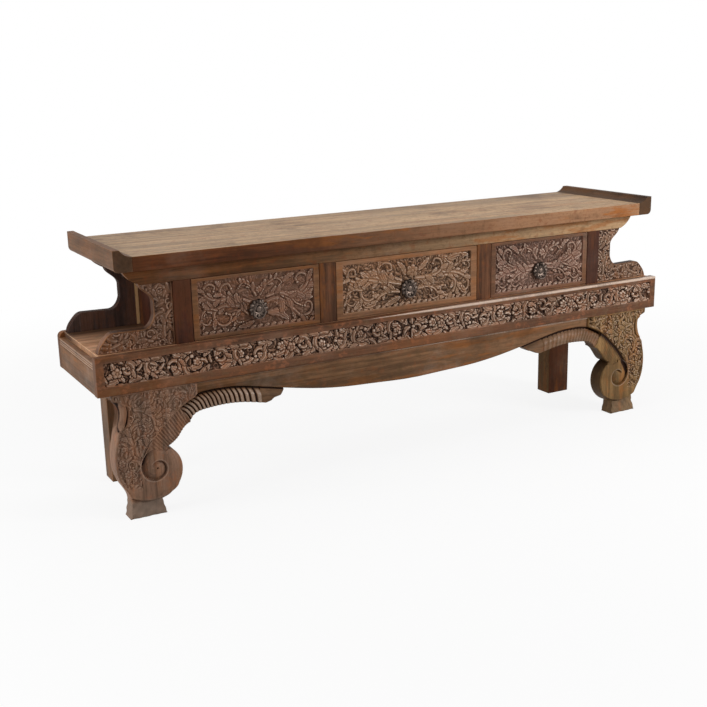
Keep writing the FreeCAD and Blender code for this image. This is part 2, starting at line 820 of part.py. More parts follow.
def build_runners(word, middle, box_half, left_wall, right_wall):
    """The pair of runners under a drawer's sides, each with a guide beside the side."""
    parts = []
    for hand, wall, sign in (("left", left_wall, -1), ("right", right_wall, 1)):
        guide_face = "%s + ( %s + guide_gap ) * ( %d )" % (middle, box_half, sign)
        tread_end = "%s + ( %s - runner_tread ) * ( %d )" % (middle, box_half, sign)
        low, high = (tread_end, wall) if sign > 0 else (wall, tread_end)
        tread = box(
            "runner_tread_%s_%s" % (word, hand), (low, STILE_BACK, BASE_TOP),
            (high, CASE_BACK + " - bracket_thickness", BASE_TOP + " + runner_height"),
        )
        low, high = (guide_face, wall) if sign > 0 else (wall, guide_face)
        guide = box(
            "runner_guide_%s_%s" % (word, hand), (low, STILE_BACK, BASE_TOP),
            (high, CASE_BACK + " - bracket_thickness", BASE_TOP + " + guide_height"),
        )
        parts.append(fuse("runner_%s_%s" % (word, hand), [tread, guide]))
    pair = doc.addObject("Part::Compound", "drawer_runners_" + word)
    pair.Links = parts
    keep(pair, "drawer_runners_" + word)


PLATE_HEIGHT = "( %s + %s ) / 2 - pull_drop" % (DRAWER_LOW, DRAWER_HIGH)


def cylinder(name, radius, length, place, axis):
    """A round bar from a centre given by three formulas, along an axis."""
    bar = doc.addObject("Part::Cylinder", name)
    bar.setExpression("Radius", bound(radius))
    bar.setExpression("Height", bound(length))
    bar.Placement.Rotation = FreeCAD.Rotation(Vector(0, 0, 1), axis)
    for letter, formula in zip("xyz", place):
        bar.setExpression("Placement.Base.%s" % letter, bound(formula))
    return bar


def build_pull(word, middle):
    """A round back plate with a boss and an eye, and the drop ring that hangs in the eye."""
    seat = CASE_FRONT + " + field_depth"
    face = CASE_FRONT + " - plate_thickness"
    outwards = Vector(0, -1, 0)
    sideways = Vector(1, 0, 0)
    eye_height = PLATE_HEIGHT + " + eye_rise"
    eye_place = CASE_FRONT + " - eye_reach"
    plate = cylinder(
        "pull_disc_" + word, "plate_radius", "plate_thickness + field_depth",
        (middle, seat, PLATE_HEIGHT), outwards,
    )
    boss = cylinder(
        "pull_boss_" + word, "boss_radius", "boss_height + plate_thickness",
        (middle, CASE_FRONT, PLATE_HEIGHT), outwards,
    )
    lug = cylinder(
        "pull_lug_" + word, "eye_radius", "eye_thickness",
        ("%s - eye_thickness / 2" % middle, eye_place, eye_height), sideways,
    )
    stem = box(
        "pull_stem_" + word,
        ("%s - eye_thickness / 2" % middle, eye_place, eye_height + " - eye_radius"),
        ("%s + eye_thickness / 2" % middle, face + " + plate_thickness / 2", eye_height + " + eye_radius"),
    )
    hole = cylinder(
        "pull_hole_" + word, "eye_hole_radius", "eye_thickness + 2 * overrun",
        ("%s - eye_thickness / 2 - overrun" % middle, eye_place, eye_height), sideways,
    )
    solid = fuse("pull_blank_" + word, [plate, boss, lug, stem])
    keep(cut("pull_plate_" + word, solid, hole), "pull_plate_" + word)
    build_ring(word, middle, eye_place, eye_height)


def build_ring(word, middle, eye_place, eye_height):
    """The drop ring: a round bow below, drawn in by straight arms to a small crown."""
    crown = value("ring_crown_radius")
    bow = value("ring_bow_radius")
    top = value(eye_height + " - ring_sag")
    centre_x = value(middle)
    place = value(eye_place)
    crown_z = top - crown
    bow_z = top - value("ring_length") + bow
    lean = math.asin((bow - crown) / (crown_z - bow_z))

    def rim(level, radius, angle):
        return Vector(centre_x + radius * math.cos(angle), place, level + radius * math.sin(angle))

    right_crown = rim(crown_z, crown, lean)
    left_crown = rim(crown_z, crown, math.pi - lean)
    right_bow = rim(bow_z, bow, lean)
    left_bow = rim(bow_z, bow, math.pi - lean)
    edges = [
        Part.Arc(right_crown, rim(crown_z, crown, math.pi / 2), left_crown).toShape(),
        Part.makeLine(left_crown, left_bow),
        Part.Arc(left_bow, rim(bow_z, bow, -math.pi / 2), right_bow).toShape(),
        Part.makeLine(right_bow, right_crown),
    ]
    path = Part.Wire(edges)
    start = edges[0].valueAt(edges[0].FirstParameter)
    run = edges[0].tangentAt(edges[0].FirstParameter)
    section = Part.Wire(Part.makeCircle(value("ring_wire_radius"), start, run))
    ring = path.makePipeShell([section], True, False)
    outline_piece("pull_ring_" + word, ring, 1)


def check_and_export():
    """Stop on any failed object or bad solid, then write one file for each sub-part."""
    doc.recompute()
    for item in doc.Objects:
        if "Invalid" in item.State or "Error" in item.State:
            raise RuntimeError("%s failed: %s" % (item.Label, item.State))
    for piece in nodes:
        shape = piece.Shape
        if shape.isNull() or not shape.isValid() or shape.Volume <= 0 or not shape.Solids:
            raise RuntimeError("%s has no valid solid" % piece.Label)
    os.makedirs("parts", exist_ok=True)
    for piece in nodes:
        piece.Shape.exportStep("parts/%s.step" % piece.Label)
    print("%d sub-parts written" % len(nodes))


fill_sheet()
build_base_boards()
build_shelf()
build_front_legs()
build_apron()
build_wings()
build_rear_legs()
build_case()
build_rails()
build_brackets()
build_top()
for drawer in DRAWERS:
    build_drawer(*drawer)
check_and_export()
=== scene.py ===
"""Looks of the carved altar table, laid out as an add-on and run as a script.

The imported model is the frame, and every piece here is built around it. The carving
functions work in millimetres in the front view, X to the right and Z up, and meshes are
written in metres.
"""

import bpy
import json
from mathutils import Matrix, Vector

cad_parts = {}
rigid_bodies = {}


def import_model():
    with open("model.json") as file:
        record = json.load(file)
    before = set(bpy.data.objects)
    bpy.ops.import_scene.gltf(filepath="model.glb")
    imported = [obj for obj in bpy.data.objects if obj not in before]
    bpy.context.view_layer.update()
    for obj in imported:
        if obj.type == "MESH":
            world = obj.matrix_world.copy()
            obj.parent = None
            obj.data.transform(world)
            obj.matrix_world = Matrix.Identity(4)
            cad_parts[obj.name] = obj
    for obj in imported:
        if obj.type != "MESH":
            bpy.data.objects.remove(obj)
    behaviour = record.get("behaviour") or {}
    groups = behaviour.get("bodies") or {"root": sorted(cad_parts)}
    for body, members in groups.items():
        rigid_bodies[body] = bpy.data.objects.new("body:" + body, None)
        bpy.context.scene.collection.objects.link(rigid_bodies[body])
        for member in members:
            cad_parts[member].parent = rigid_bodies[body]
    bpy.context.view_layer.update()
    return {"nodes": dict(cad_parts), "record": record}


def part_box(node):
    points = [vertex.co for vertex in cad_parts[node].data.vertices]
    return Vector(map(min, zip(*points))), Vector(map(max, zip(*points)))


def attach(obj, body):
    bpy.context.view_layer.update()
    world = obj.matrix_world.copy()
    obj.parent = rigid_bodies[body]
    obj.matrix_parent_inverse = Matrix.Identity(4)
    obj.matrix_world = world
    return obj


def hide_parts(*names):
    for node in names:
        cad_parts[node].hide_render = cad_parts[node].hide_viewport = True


bl_info = {
    "name": "Carved altar table",
    "version": (1, 0, 0),
    "blender": (4, 5, 0),
    "location": "3D View > Sidebar > Table",
    "description": "Builds the carved, worn and metal pieces of an altar table on its frame",
    "category": "Object",
}

import json
import math

import bmesh
import bpy
import numpy as np
from bpy.props import FloatProperty, FloatVectorProperty, IntProperty, PointerProperty
from mathutils import Matrix, Vector
from mathutils.geometry import delaunay_2d_cdt

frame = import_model()

MM = 0.001
SIDES = (("left", -1), ("right", 1))
DRAWERS = ("left", "middle", "right")
# Where the random draws of each carving start.
SEEDS = {"frieze": 11, "frieze_ground": 12, "drawers": 31, "legs": 51, "brackets": 71}


def paint(red, green, blue):
    """The linear colour of a swatch given from 0 to 255."""
    return tuple((channel / 255) ** 2.2 for channel in (red, green, blue))


def colour(name, swatch, about):
    return FloatVectorProperty(name=name, description=about, default=paint(*swatch), subtype="COLOR", size=3)


def length(name, default, about):
    return FloatProperty(name=name, description=about, default=default, unit="LENGTH")


def watts(name, default, about):
    return FloatProperty(name=name, description=about, default=default, unit="POWER")


def angle(name, degrees, about):
    return FloatProperty(name=name, description=about, default=math.radians(degrees), subtype="ANGLE")


def count(name, default, about):
    return IntProperty(name=name, description=about, default=default, min=3)


class TableCarving(bpy.types.PropertyGroup):
    """Sizes of the carved and worn surfaces."""

    panel_step: length("Panel grid", 0.0009, "Distance between the points of a carved panel")
    frieze_step: length("Frieze grid", 0.0011, "Distance between the points of the frieze")
    leg_step: length("Leg grid", 0.00105, "Distance between the points of a leg's face")
    edge_wear: length("Worn edge", 0.0016, "Width of the worn edges of plain boards")
    panel_round: length("Carved edge", 0.0018, "Radius of the edges of carved boards")
    leg_relief: length("Leg relief", 0.0042, "Depth of the leaf work on the legs")
    bracket_relief: length("Bracket relief", 0.0036, "Depth of the leaf work on the brackets")
    frieze_repeats: count("Frieze repeats", 15, "Scroll groups in the frieze")
    wing_flutes: count("Wing flutes", 16, "Slanted lobes on each wing")


class TableColours(bpy.types.PropertyGroup):
    """Wood and metal colours."""

    top: colour("Top", (178, 146, 112), "Worn tan of the top's face")
    edge: colour("Edge", (100, 59, 35), "Waxed red brown of the top's edge")
    flange: colour("Flange", (101, 74, 54), "Grey brown of the end flanges")
    rail: colour("Rail", (109, 71, 43), "Brown of the rails and shelf")
    frieze_rim: colour("Frieze rim", (108, 74, 54), "Red brown of the frieze board's plain edges")
    left_rim: colour("Left rim", (121, 85, 58), "Edges of the left drawer front")
    middle_rim: colour("Middle rim", (141, 101, 72), "Edges of the middle drawer front")
    right_rim: colour("Right rim", (112, 80, 60), "Edges of the right drawer front")
    divider: colour("Dividers", (104, 70, 50), "Brown of the posts between the drawers")
    # Painted light: the pale grey brown that the rail takes towards its right end, where the light falls.
    pale_rail: colour("Pale rail", (208, 173, 132), "Rubbed grey brown of the rail towards the right end")
    # Painted light: the left rear leg is paler than the right one, as the light from the left falls on it.
    left_post: colour("Left rear leg", (116, 88, 66), "Pale brown of the left rear leg")
    stile: colour("Stile", (75, 46, 35), "Dark brown of the left stile")
    # Painted shade: the case's end panels are painted this dark because they stand in shade.
    end_panel: colour("End panels", (58, 34, 25), "Dark polish of the case's ends")
    wing: colour("Wings", (120, 91, 68), "Grey olive brown of the fluted wings")
    dark_end: colour("Right flange", (72, 52, 36), "Dark brown of the right flange")
    case: colour("Case", (88, 52, 33), "Dark red brown of the case")
    shaded: colour("Rear brackets", (92, 74, 68), "Brown of the brackets at the rear")
    warm_bracket: colour("Right bracket", (131, 100, 79), "Warm brown of the right front bracket")
    frieze: colour("Frieze", (156, 119, 96), "Brown of the frieze")
    drawer_left: colour("Left drawer", (131, 98, 80), "Reddish brown of the left drawer")
    drawer_middle: colour("Middle drawer", (146, 113, 88), "Olive brown of the middle drawer")
    drawer_right: colour("Right drawer", (129, 98, 84), "Greyish brown of the right drawer")
    leg_left: colour("Left leg", (138, 107, 88), "Red brown of the left leg")
    leg_right: colour("Right leg", (134, 104, 69), "Olive tan of the right leg")
    apron: colour("Apron", (118, 87, 62), "Olive brown of the apron")
    end: colour("Ends", (105, 75, 52), "Grey brown of the end boards")
    bracket: colour("Brackets", (121, 89, 70), "Brown of the scrolled brackets")
    post: colour("Rear legs", (90, 55, 36), "Red brown of the rear legs")
    # Painted light: the right rear leg's left side, paler where the light from the left falls.
    post_side: colour("Rear leg's side", (112, 84, 54), "Olive brown of the right rear leg's left side")
    shelf: colour("Shelf", (208, 158, 122), "Brown of the open shelf ends")
    # Painted light: a pale strip of light laid on the front of the left rear bracket.
    lit_strip: colour("Sapwood", (250, 206, 150), "Pale strip where the sapwood shows")
    inner: colour("Inner wood", (150, 116, 84), "Plain wood inside the case")
    # Painted shade, partly dirt: the dark brown laid in the carving's recesses, on the rear brackets' left
    # faces and towards the rear of the shelf.
    dark: colour("Recess", (40, 23, 14), "Dark polish and dust in the recesses")
    # Painted light: the pale brown that the wood takes towards the right end, where the light falls.
    right_end_light: colour("Faded", (186, 140, 104), "Sun-faded brown towards the right end")
    # Partly dirt, partly painted highlight: this pinkish grey is laid as a painted highlight on the carving's
    # crests, and as grey patches and at the foot.
    dust_and_sheen: colour("Dust", (214, 188, 168), "Pinkish grey on the carving's crests")
    honey: colour("Honey", (166, 98, 42), "Orange patches where the polish wore through")
    iron: colour("Iron", (60, 52, 47), "Dark aged metal of the pulls")


class TableStage(bpy.types.PropertyGroup):
    """Where the camera stands, and the strength of the light."""

    azimuth: angle("Azimuth", -28.884, "Turn of the view from the front")
    elevation: angle("Elevation", 14.838, "Height of the view above level")
    roll: angle("Roll", -1.293, "Lean of the camera")
    place: FloatVectorProperty(
        name="Camera place", description="Where the camera stands", default=(-1.57086, -2.66926, 1.095),
        subtype="TRANSLATION", unit="LENGTH", size=3)
    lens: FloatProperty(name="Lens", description="Focal length in millimetres", default=55.44)
    key_power: watts("Key light", 46, "Watts of the front light")
    side_power: watts("Side light", 44, "Watts of the left light")
    top_power: watts("Top light", 27, "Watts of the light overhead")
    sky: FloatProperty(name="Sky", description="Strength of the light from all round", default=0.26)


class Number:
    """A number socket. Python expressions on it add their Math nodes."""

    def __init__(self, finish, socket):
        self.finish = finish
        self.socket = socket

    def math(self, operation, *others, clamp=False):
        values = dict(enumerate((self,) + others))
        made = self.finish.node("ShaderNodeMath", {"operation": operation, "use_clamp": clamp}, values)
        return Number(self.finish, made.outputs[0])

    def __add__(self, other):
        return self.math("ADD", other)

    __radd__ = __add__

    def __sub__(self, other):
        return self.math("SUBTRACT", other)

    def __rsub__(self, other):
        return (self * -1) + other

    def __mul__(self, other):
        return self.math("MULTIPLY", other)

    __rmul__ = __mul__

    def __abs__(self):
        return self.math("ABSOLUTE")

    def clamped(self):
        return self.math("ADD", 0.0, clamp=True)

    def between(self, low, high):
        """0 at low and 1 at high, eased between them."""
        made = self.finish.node(
            "ShaderNodeMapRange", {"interpolation_type": "SMOOTHSTEP"},
            {"Value": self, "From Min": low, "From Max": high})
        return Number(self.finish, made.outputs[0])


class NodeMaker:
    """Adds nodes to a tree that starts empty."""

    def __init__(self, tree):
        self.tree = tree
        self.tree.nodes.clear()

    def node(self, kind, settings=None, values=None):
        """Adds a node: its type, its settings, then the values or links of its sockets."""
        made = self.tree.nodes.new(kind)
        for key, setting in (settings or {}).items():
            setattr(made, key, setting)
        for key, given in (values or {}).items():
            if isinstance(given, Number):
                given = given.socket
            if isinstance(given, bpy.types.NodeSocket):
                self.tree.links.new(given, made.inputs[key])
            else:
                made.inputs[key].default_value = given
        return made

    def seen(self):
        """1 for the rays that come straight from the camera, off a mirror or through glass."""
        light = self.node("ShaderNodeLightPath").outputs
        most = Number(self, light["Is Camera Ray"])
        for ray in ("Is Glossy Ray", "Is Transmission Ray"):
            most = most.math("MAXIMUM", Number(self, light[ray]))
        return most


class Finish(NodeMaker):
    """A material under construction."""

    def __init__(self, name):
        self.material = bpy.data.materials.new(name)
        self.material.use_nodes = True
        super().__init__(self.material.node_tree)

    def place(self):
        return self.node("ShaderNodeTexCoord").outputs["Object"]

    def vector(self, operation, *values):
        made = self.node("ShaderNodeVectorMath", {"operation": operation}, dict(enumerate(values)))
        return made.outputs[0]

    def together(self, x, y, z):
        return self.node("ShaderNodeCombineXYZ", None, {0: x, 1: y, 2: z}).outputs[0]

    def parts(self, vector):
        """The X, Y and Z of a vector."""
        outputs = self.node("ShaderNodeSeparateXYZ", None, {0: vector}).outputs
        return [Number(self, output) for output in outputs]

    def facing(self):
        """The X, Y and Z of the way that the surface looks."""
        return self.parts(self.node("ShaderNodeNewGeometry").outputs["Normal"])

    def noise(self, vector, scale, detail=4.0, rough=0.55):
        made = self.node("ShaderNodeTexNoise", {"noise_dimensions": "3D"}, {
            "Vector": vector, "Scale": scale, "Detail": detail, "Roughness": rough})
        return Number(self, made.outputs["Fac"])

    def attribute(self, name):
        return Number(self, self.node("ShaderNodeAttribute", {"attribute_name": name}).outputs["Fac"])

    def mix(self, factor, first, second):
        made = self.node("ShaderNodeMix", {"data_type": "RGBA"}, {0: factor, 6: first, 7: second})
        return made.outputs[2]

    def bump(self, height, strength, distance, normal=None):
        values = {"Height": height, "Strength": strength, "Distance": distance}
        if normal is not None:
            values["Normal"] = normal
        return self.node("ShaderNodeBump", None, values).outputs["Normal"]

    def surface(self, shader):
        self.node("ShaderNodeOutputMaterial", None, {"Surface": shader.outputs[0]})
        return self.material


def tinted(colour_value, *factors):
    """A colour scaled by one factor, or by one for each channel, with full alpha."""
    factors = factors * 3 if len(factors) == 1 else factors
    return tuple(min(channel * factor, 1) for channel, factor in zip(colour_value, factors)) + (1,)


def teak(name, base, along="X", contrast=1.0, honey=0.25, grey=0.2, gloss=0.46, carved=0.0, edges=0.5,
         upper=None, foot=0.0, right_end_light=0.0, pale="right_end_light", wear_and_highlight=0.9, sparse=0.0, wax=0.0, stripe=0.0,
         rim=None, left_face=None, ends=0.36, dusk=0.0):
    """Weathered teak: streaks along the grain, worn patches, pores, dark recesses and end grain.

    along is the grain's axis. The shares from 0 up say how much shows of: contrast between the
    streaks, honey and grey patches, painted shade, partly dirt, in the carving's recesses (carved),
    painted highlight, partly wear, on its crests (sparse for fewer crests), pale worn edges, greyish
    dirt at the foot, painted light that pales the wood towards the right end, a painted strip of
    light, waxed crests, and dusk, a painted shade towards the rear. upper, rim and left_face name
    other colours: of the face above, of the plain rim of a carved board, of faces to the left,
    where they paint light or shade on those faces.
    """
    colours = bpy.context.scene.table_colours
    finish = Finish(name)
    seed = finish.attribute("board_seed")
    place = finish.place()
    shift = finish.together(seed * 3.7, seed * 5.3, seed * 7.9)
    axis = "XYZ".index(along)

    def grain(run, across, *detail, bend=None):
        """Noise drawn out along the grain."""
        scale = [across, across, across]
        scale[axis] = run
        where = finish.vector("ADD", finish.vector("MULTIPLY", place, scale), shift)
        if bend is not None:
            where = finish.vector("ADD", where, finish.together(bend, bend, bend))
        return finish.noise(where, 1.0, *detail)

    wander = grain(2.4, 9, 3.0)
    streak = grain(1.3, 30, 6.0, 0.7, bend=wander * 2.6)
    line = grain(4.5, 110, 4.0, 0.65)
    board = grain(0.9, 11, 2.0, 0.5)
    fine = grain(12, 420, 3.0, 0.6)
    pores = grain(40, 1000, 2.0, 0.5)
    patch = grain(3.2, 19, 5.0, 0.66)
    here = finish.vector("ADD", place, shift)
    cloud = finish.noise(here, 5.2, 5.0, 0.66)
    fleck = finish.noise(here, 46, 4.0, 0.7)
    speck = finish.noise(place, 210, 3.0, 0.6)
    facing = finish.facing()
    spot = finish.parts(place)
    over = facing[2].between(0.55, 0.8)

    tone = (streak - 0.5) * 2.1 + (line - 0.5) * 1.5 + (board - 0.5) * 0.8 + (fine - 0.5) * 0.6
    tone = (tone * contrast + 0.5).clamped()
    if upper is not None:
        # Painted shade: the top face is darker towards the rear.
        tone = (tone - over * spot[1].between(-0.05, 0.2) * 0.22).clamped()
    shades = [tinted(base, 0.5), tinted(base, 1.5)]

    def recolour(share, other, low, high):
        """Gives the dark and light streaks another colour for a share."""
        for number, factor in enumerate((low, high)):
            shades[number] = finish.mix(share, shades[number], tinted(other, factor))

    if rim is not None:
        recolour(finish.attribute("carve_depth").between(1.2, 1.8), getattr(colours, rim), 0.5, 1.55)
    # Painted light and shade: faces that look to the left take another colour, as a painted shade on the rear
    # brackets and a painted lit side on the right rear leg.
    if left_face is not None:
        recolour(facing[0].between(-0.5, -0.8), getattr(colours, left_face), 0.5, 1.5)
    if upper is not None:
        side = over * -1.0 + 1.0
        recolour(abs(spot[0]).between(0.74, 0.8) * side * 0.45, base, 0.3, 0.5)
        recolour(over, upper, 0.56, 1.34)
        right_end_light = side * right_end_light
        honey = (over * -0.75 + 1.0) * honey
    wood = finish.mix(tone, *shades)

    def cover(share, colour_value, *factors):
        """Lays another colour over a share of the wood."""
        nonlocal wood
        wood = finish.mix(share, wood, tinted(colour_value, *factors))

    # Painted light: the wood is paler, with more orange patches, towards the right end, where the light
    # falls.
    if right_end_light:
        right_end_share = spot[0].between(-0.6, 0.7) * (line * 1.2 + 0.4) * right_end_light
        cover(right_end_share.clamped(), getattr(colours, pale), 1.0)
        honey = (spot[0].between(-0.7, 0.4) * 0.8 + 0.2) * honey
    cover(fleck.between(0.52, 0.68) * 0.4, base, 1.5, 0.98, 0.7)
    cover(fleck.between(0.48, 0.32) * 0.35, base, 0.62, 0.72, 0.6)
    cover(patch.between(0.51, 0.6) * honey, colours.honey, 1.0)
    cover(cloud.between(0.5, 0.74) * grey, colours.dust_and_sheen, 0.66)
    # Painted light: a narrow pale strip on the front faces at the left rear bracket.
    if stripe:
        strip = spot[0].between(-0.695, -0.693) * spot[0].between(-0.684, -0.686)
        cover(facing[1].between(-0.5, -0.8) * strip * stripe, colours.lit_strip, 1.0)
    cover(cloud.between(0.48, 0.3) * 0.6, base, 0.4)
    cover(pores.between(0.4, 0.3) * 0.5, base, 0.26)
    cover(abs(facing[axis]).between(0.6, 0.9) * 0.6, base, ends)
    # Painted shade: the wood darkens towards the rear, under the top.
    if dusk:
        cover(spot[1].between(-0.02, 0.12) * dusk, colours.dark, 1.2)
    rough = streak * 0.2 + gloss
    if foot:
        low = spot[2].between(0.052, 0.036)
        cover(low * foot, colours.dust_and_sheen, 0.38)
        rough = rough + low * 0.2
    if carved:
        # Painted shade, partly dirt: the carving's recesses and low places are painted dark, and shares below
        # 0 paint the shadows that leg_face, leg_hollow, wing_face and the slab walls give.
        depth = finish.attribute("carve_depth")
        crest = finish.attribute("carve_crest")
        deep = depth.between(0.36, 0.02) * (0.8 * carved) + crest.between(-0.04, -0.24) * (0.9 * carved)
        deep = deep + depth.between(0.0, -0.6) * 0.9
        cover(deep.clamped(), colours.dark, 1.0)
        # Painted highlight, partly wear: the highest crests of the carving turn pinkish grey, more so towards
        # the right.
        high = crest.between(0.09 + sparse, 0.28 + sparse) * (speck * 1.8 + 0.05)
        high = high * (cloud.between(0.3, 0.56) * 0.8 + 0.35)
        high = high * (spot[0].between(-0.8, 0.3) * 0.4 + 0.6) * wear_and_highlight
        cover(high.clamped(), colours.dust_and_sheen, 1.0)
        rough = rough - crest.between(0.02, 0.3) * 0.1
    if edges:
        flat = abs(facing[0]).math("MAXIMUM", abs(facing[1])).math("MAXIMUM", abs(facing[2]))
        worn = flat.between(0.995, 0.86) * cloud.between(0.36, 0.6) * edges
        cover(worn, base, 1.9)
    normal = finish.bump(fine * 0.6 + pores * 0.3 + streak * 0.5, 0.4, 0.0007)
    normal = finish.bump(cloud + speck * 0.12, 0.16, 0.004, normal)
    values = {"Base Color": wood, "Roughness": rough.clamped(), "Normal": normal, "Specular IOR Level": 0.12}
    if wax:
        values["Coat Weight"] = (crest.between(0.0, 0.25) * wax).clamped()
        values["Coat Roughness"] = 0.3
    return finish.surface(finish.node("ShaderNodeBsdfPrincipled", None, values))


def aged_iron():
    """Dark aged metal with brown freckles, and faces towards the front painted lighter, partly as wear and
    partly as a painted highlight.
    """
    colours = bpy.context.scene.table_colours
    finish = Finish("aged_iron")
    place = finish.place()
    cloud = finish.noise(place, 90, 5.0, 0.6)
    freckle = finish.noise(place, 420, 3.0, 0.6)
    metal = finish.mix(cloud.between(0.35, 0.7), tinted(colours.iron, 0.55), tinted(colours.iron, 1.7))
    metal = finish.mix(freckle.between(0.58, 0.72) * 0.5, metal, tinted(paint(112, 74, 48), 1.0))
    # Partly wear, partly painted highlight: faces that look to the front are painted lighter.
    wear_and_highlight = finish.facing()[1].between(-0.72, -0.98) * (cloud * 0.8 + 0.2)
    metal = finish.mix(wear_and_highlight.clamped(), metal, tinted(colours.iron, 4.6))
    normal = finish.bump(freckle + cloud, 0.4, 0.0005)
    return finish.surface(finish.node("ShaderNodeBsdfPrincipled", None, {
        "Base Color": metal, "Roughness": (cloud * 0.3 + 0.26).clamped(), "Metallic": 0.8, "Normal": normal}))


# Name of each finish: its colour, grain axis and settings for teak().
FINISHES = {
    "worn_top": ("edge", "X", {"honey": 0.8, "grey": 0.15, "gloss": 0.42, "contrast": 1.2, "right_end_light": 0.75}),
    "dark_flange": ("flange", "Y", {"honey": 0.15, "grey": 0.2, "contrast": 1.2, "ends": 0.5}),
    "right_flange": ("dark_end", "Y", {"honey": 0.15, "grey": 0.2, "contrast": 1.2, "ends": 1.8}),
    "brown_rail": ("rail", "X", {
        "honey": 0.55, "grey": 0.15, "right_end_light": 0.72, "pale": "pale_rail", "contrast": 1.6,
        "edges": 0.15}),
    "divider": ("divider", "Z", {"honey": 0.35, "grey": 0.1, "contrast": 1.3}),
    "left_post": ("left_post", "Z", {"honey": 0.15, "grey": 0.2}),
    "dark_stile": ("stile", "Z", {"honey": 0.1, "grey": 0.05}),
    "end_panel": ("end_panel", "Z", {"honey": 0.1, "grey": 0.05}),
    # Painted shade: the rear brackets' faces to the left and their faces up and down are painted dark, as
    # they lie in shade under the top; a narrow strip of painted light runs down the left one.
    "rear_bracket": ("shaded", "Z", {
        "gloss": 0.72, "honey": 0.15, "grey": 0.05, "stripe": 0.95, "edges": 0.0, "left_face": "dark",
        "ends": 0.12}),
    "case_board": ("case", "X", {"honey": 0.12, "grey": 0.08}),
    "shelf_board": ("shelf", "X", {"honey": 0.3, "grey": 0.15, "contrast": 1.2, "dusk": 0.85}),
    "end_board": ("end", "Y", {"honey": 0.4, "grey": 0.35, "edges": 0.6, "carved": 1.0, "contrast": 1.2}),
    "rear_post": ("post", "Z", {"honey": 0.3, "grey": 0.1, "left_face": "post_side"}),
    "apron_board": ("apron", "X", {
        "honey": 0.5, "grey": 0.35, "contrast": 1.7, "carved": 1.0, "right_end_light": 0.3, "edges": 0.0}),
    "plain_inner": ("inner", "X", {"honey": 0.1, "grey": 0.1, "gloss": 0.6}),
    "plain_inner_deep": ("inner", "Y", {"honey": 0.1, "grey": 0.1, "gloss": 0.6}),
    "carved_frieze": ("frieze", "X", {
        "carved": 1.0, "honey": 0.18, "grey": 0.15, "edges": 0.0, "wax": 0.6, "rim": "frieze_rim",
        "wear_and_highlight": 1.1}),
    "carved_drawer_left": ("drawer_left", "X", {
        "carved": 0.55, "honey": 0.3, "grey": 0.12, "wax": 0.6, "rim": "left_rim", "wear_and_highlight": 1.5,
        "sparse": 0.1}),
    "carved_drawer_middle": ("drawer_middle", "X", {
        "carved": 1.0, "honey": 0.4, "grey": 0.12, "wax": 0.6, "rim": "middle_rim", "wear_and_highlight": 2.0,
        "sparse": 0.05}),
    "carved_drawer_right": ("drawer_right", "X", {
        "carved": 0.75, "honey": 0.12, "grey": 0.25, "wax": 0.5, "rim": "right_rim"}),
    "carved_bracket_left": ("bracket", "Z", {
        "carved": 0.5, "honey": 0.35, "grey": 0.25, "wax": 0.4, "rim": "left_rim", "wear_and_highlight": 0.6}),
    "carved_bracket_right": ("warm_bracket", "Z", {
        "carved": 0.8, "honey": 0.5, "grey": 0.2, "wax": 0.4, "rim": "warm_bracket", "wear_and_highlight": 0.8}),
    "carved_leg_left": ("leg_left", "Z", {
        "carved": 0.26, "honey": 0.2, "grey": 0.12, "edges": 0.0, "foot": 0.75, "wax": 0.3, "wear_and_highlight": 0.3}),
    "carved_leg_right": ("leg_right", "Z", {
        "carved": 0.6, "honey": 0.35, "grey": 0.1, "edges": 0.0, "foot": 0.3, "wax": 0.4, "wear_and_highlight": 0.3}),
    "carved_wing": ("wing", "X", {
        "carved": 1.0, "honey": 0.15, "grey": 0.35, "edges": 0.0, "wax": 0.4, "wear_and_highlight": 0.7}),
}


def finish_named(name):
    """The material of that name, made the first time it is asked for."""
    if name in bpy.data.materials:
        return bpy.data.materials[name]
    if name == "aged_iron":
        return aged_iron()
    base, along, settings = FINISHES[name]
    colours = bpy.context.scene.table_colours
    upper = colours.top if name == "worn_top" else None
    return teak(name, getattr(colours, base), along, upper=upper, **settings)


def smooth(low, high, value):
    """0 at low and 1 at high, eased between them."""
    share = np.clip((value - low) / (high - low), 0, 1)
    return share * share * (3 - 2 * share)


def bell(value, middle, width):
    """1 at the middle, falling away on both sides."""
    return np.exp(-(((value - middle) / width) ** 2))


def dome(value, radius):
    """A half round: 1 in the middle and 0 at the radius."""
    return np.sqrt(np.clip(1 - (value / radius) ** 2, 0, 1))


def pairs(x, z):
    """Grids of X and Z as a list of points."""
    return np.stack([x.ravel(), z.ravel()], 1)


def through(points, gap=1.0):
    """A smooth line through some points, sampled about every gap."""
    points = np.asarray(points, float)
    ends = np.vstack([2 * points[0] - points[1], points, 2 * points[-1] - points[-2]])
    line = []
    for a, b, c, d in zip(ends, ends[1:], ends[2:], ends[3:]):
        count = max(2, int(np.linalg.norm(c - b) / gap) + 1)
        t = np.linspace(0, 1, count, endpoint=False)[:, None]
        line.append(0.5 * (2 * b + (c - a) * t + (2 * a - 5 * b + 4 * c - d) * t**2
                           + (3 * b - a - 3 * c + d) * t**3))
    line.append(points[-1:])
    return np.vstack(line)


def winding(start, heading, reach, turn, ease=1.6, gap=1.0):
    """A line that leaves a point on a heading and winds up towards its end."""
    count = max(8, int(reach / gap))
    share = np.linspace(0, 1, count)
    angle = heading + turn * share**ease
    step = reach / (count - 1)
    moves = np.stack([np.cos(angle), np.sin(angle)], 1) * step
    return np.asarray(start, float) + np.vstack([np.zeros(2), np.cumsum(moves[:-1], 0)])


def heading_at(line, share):
    """The direction of a line at a share of its length."""
    index = int(round(share * (len(line) - 2)))
    run = line[index + 1] - line[index]
    return math.atan2(run[1], run[0])


def point_at(line, share):
    return line[int(round(share * (len(line) - 1)))]


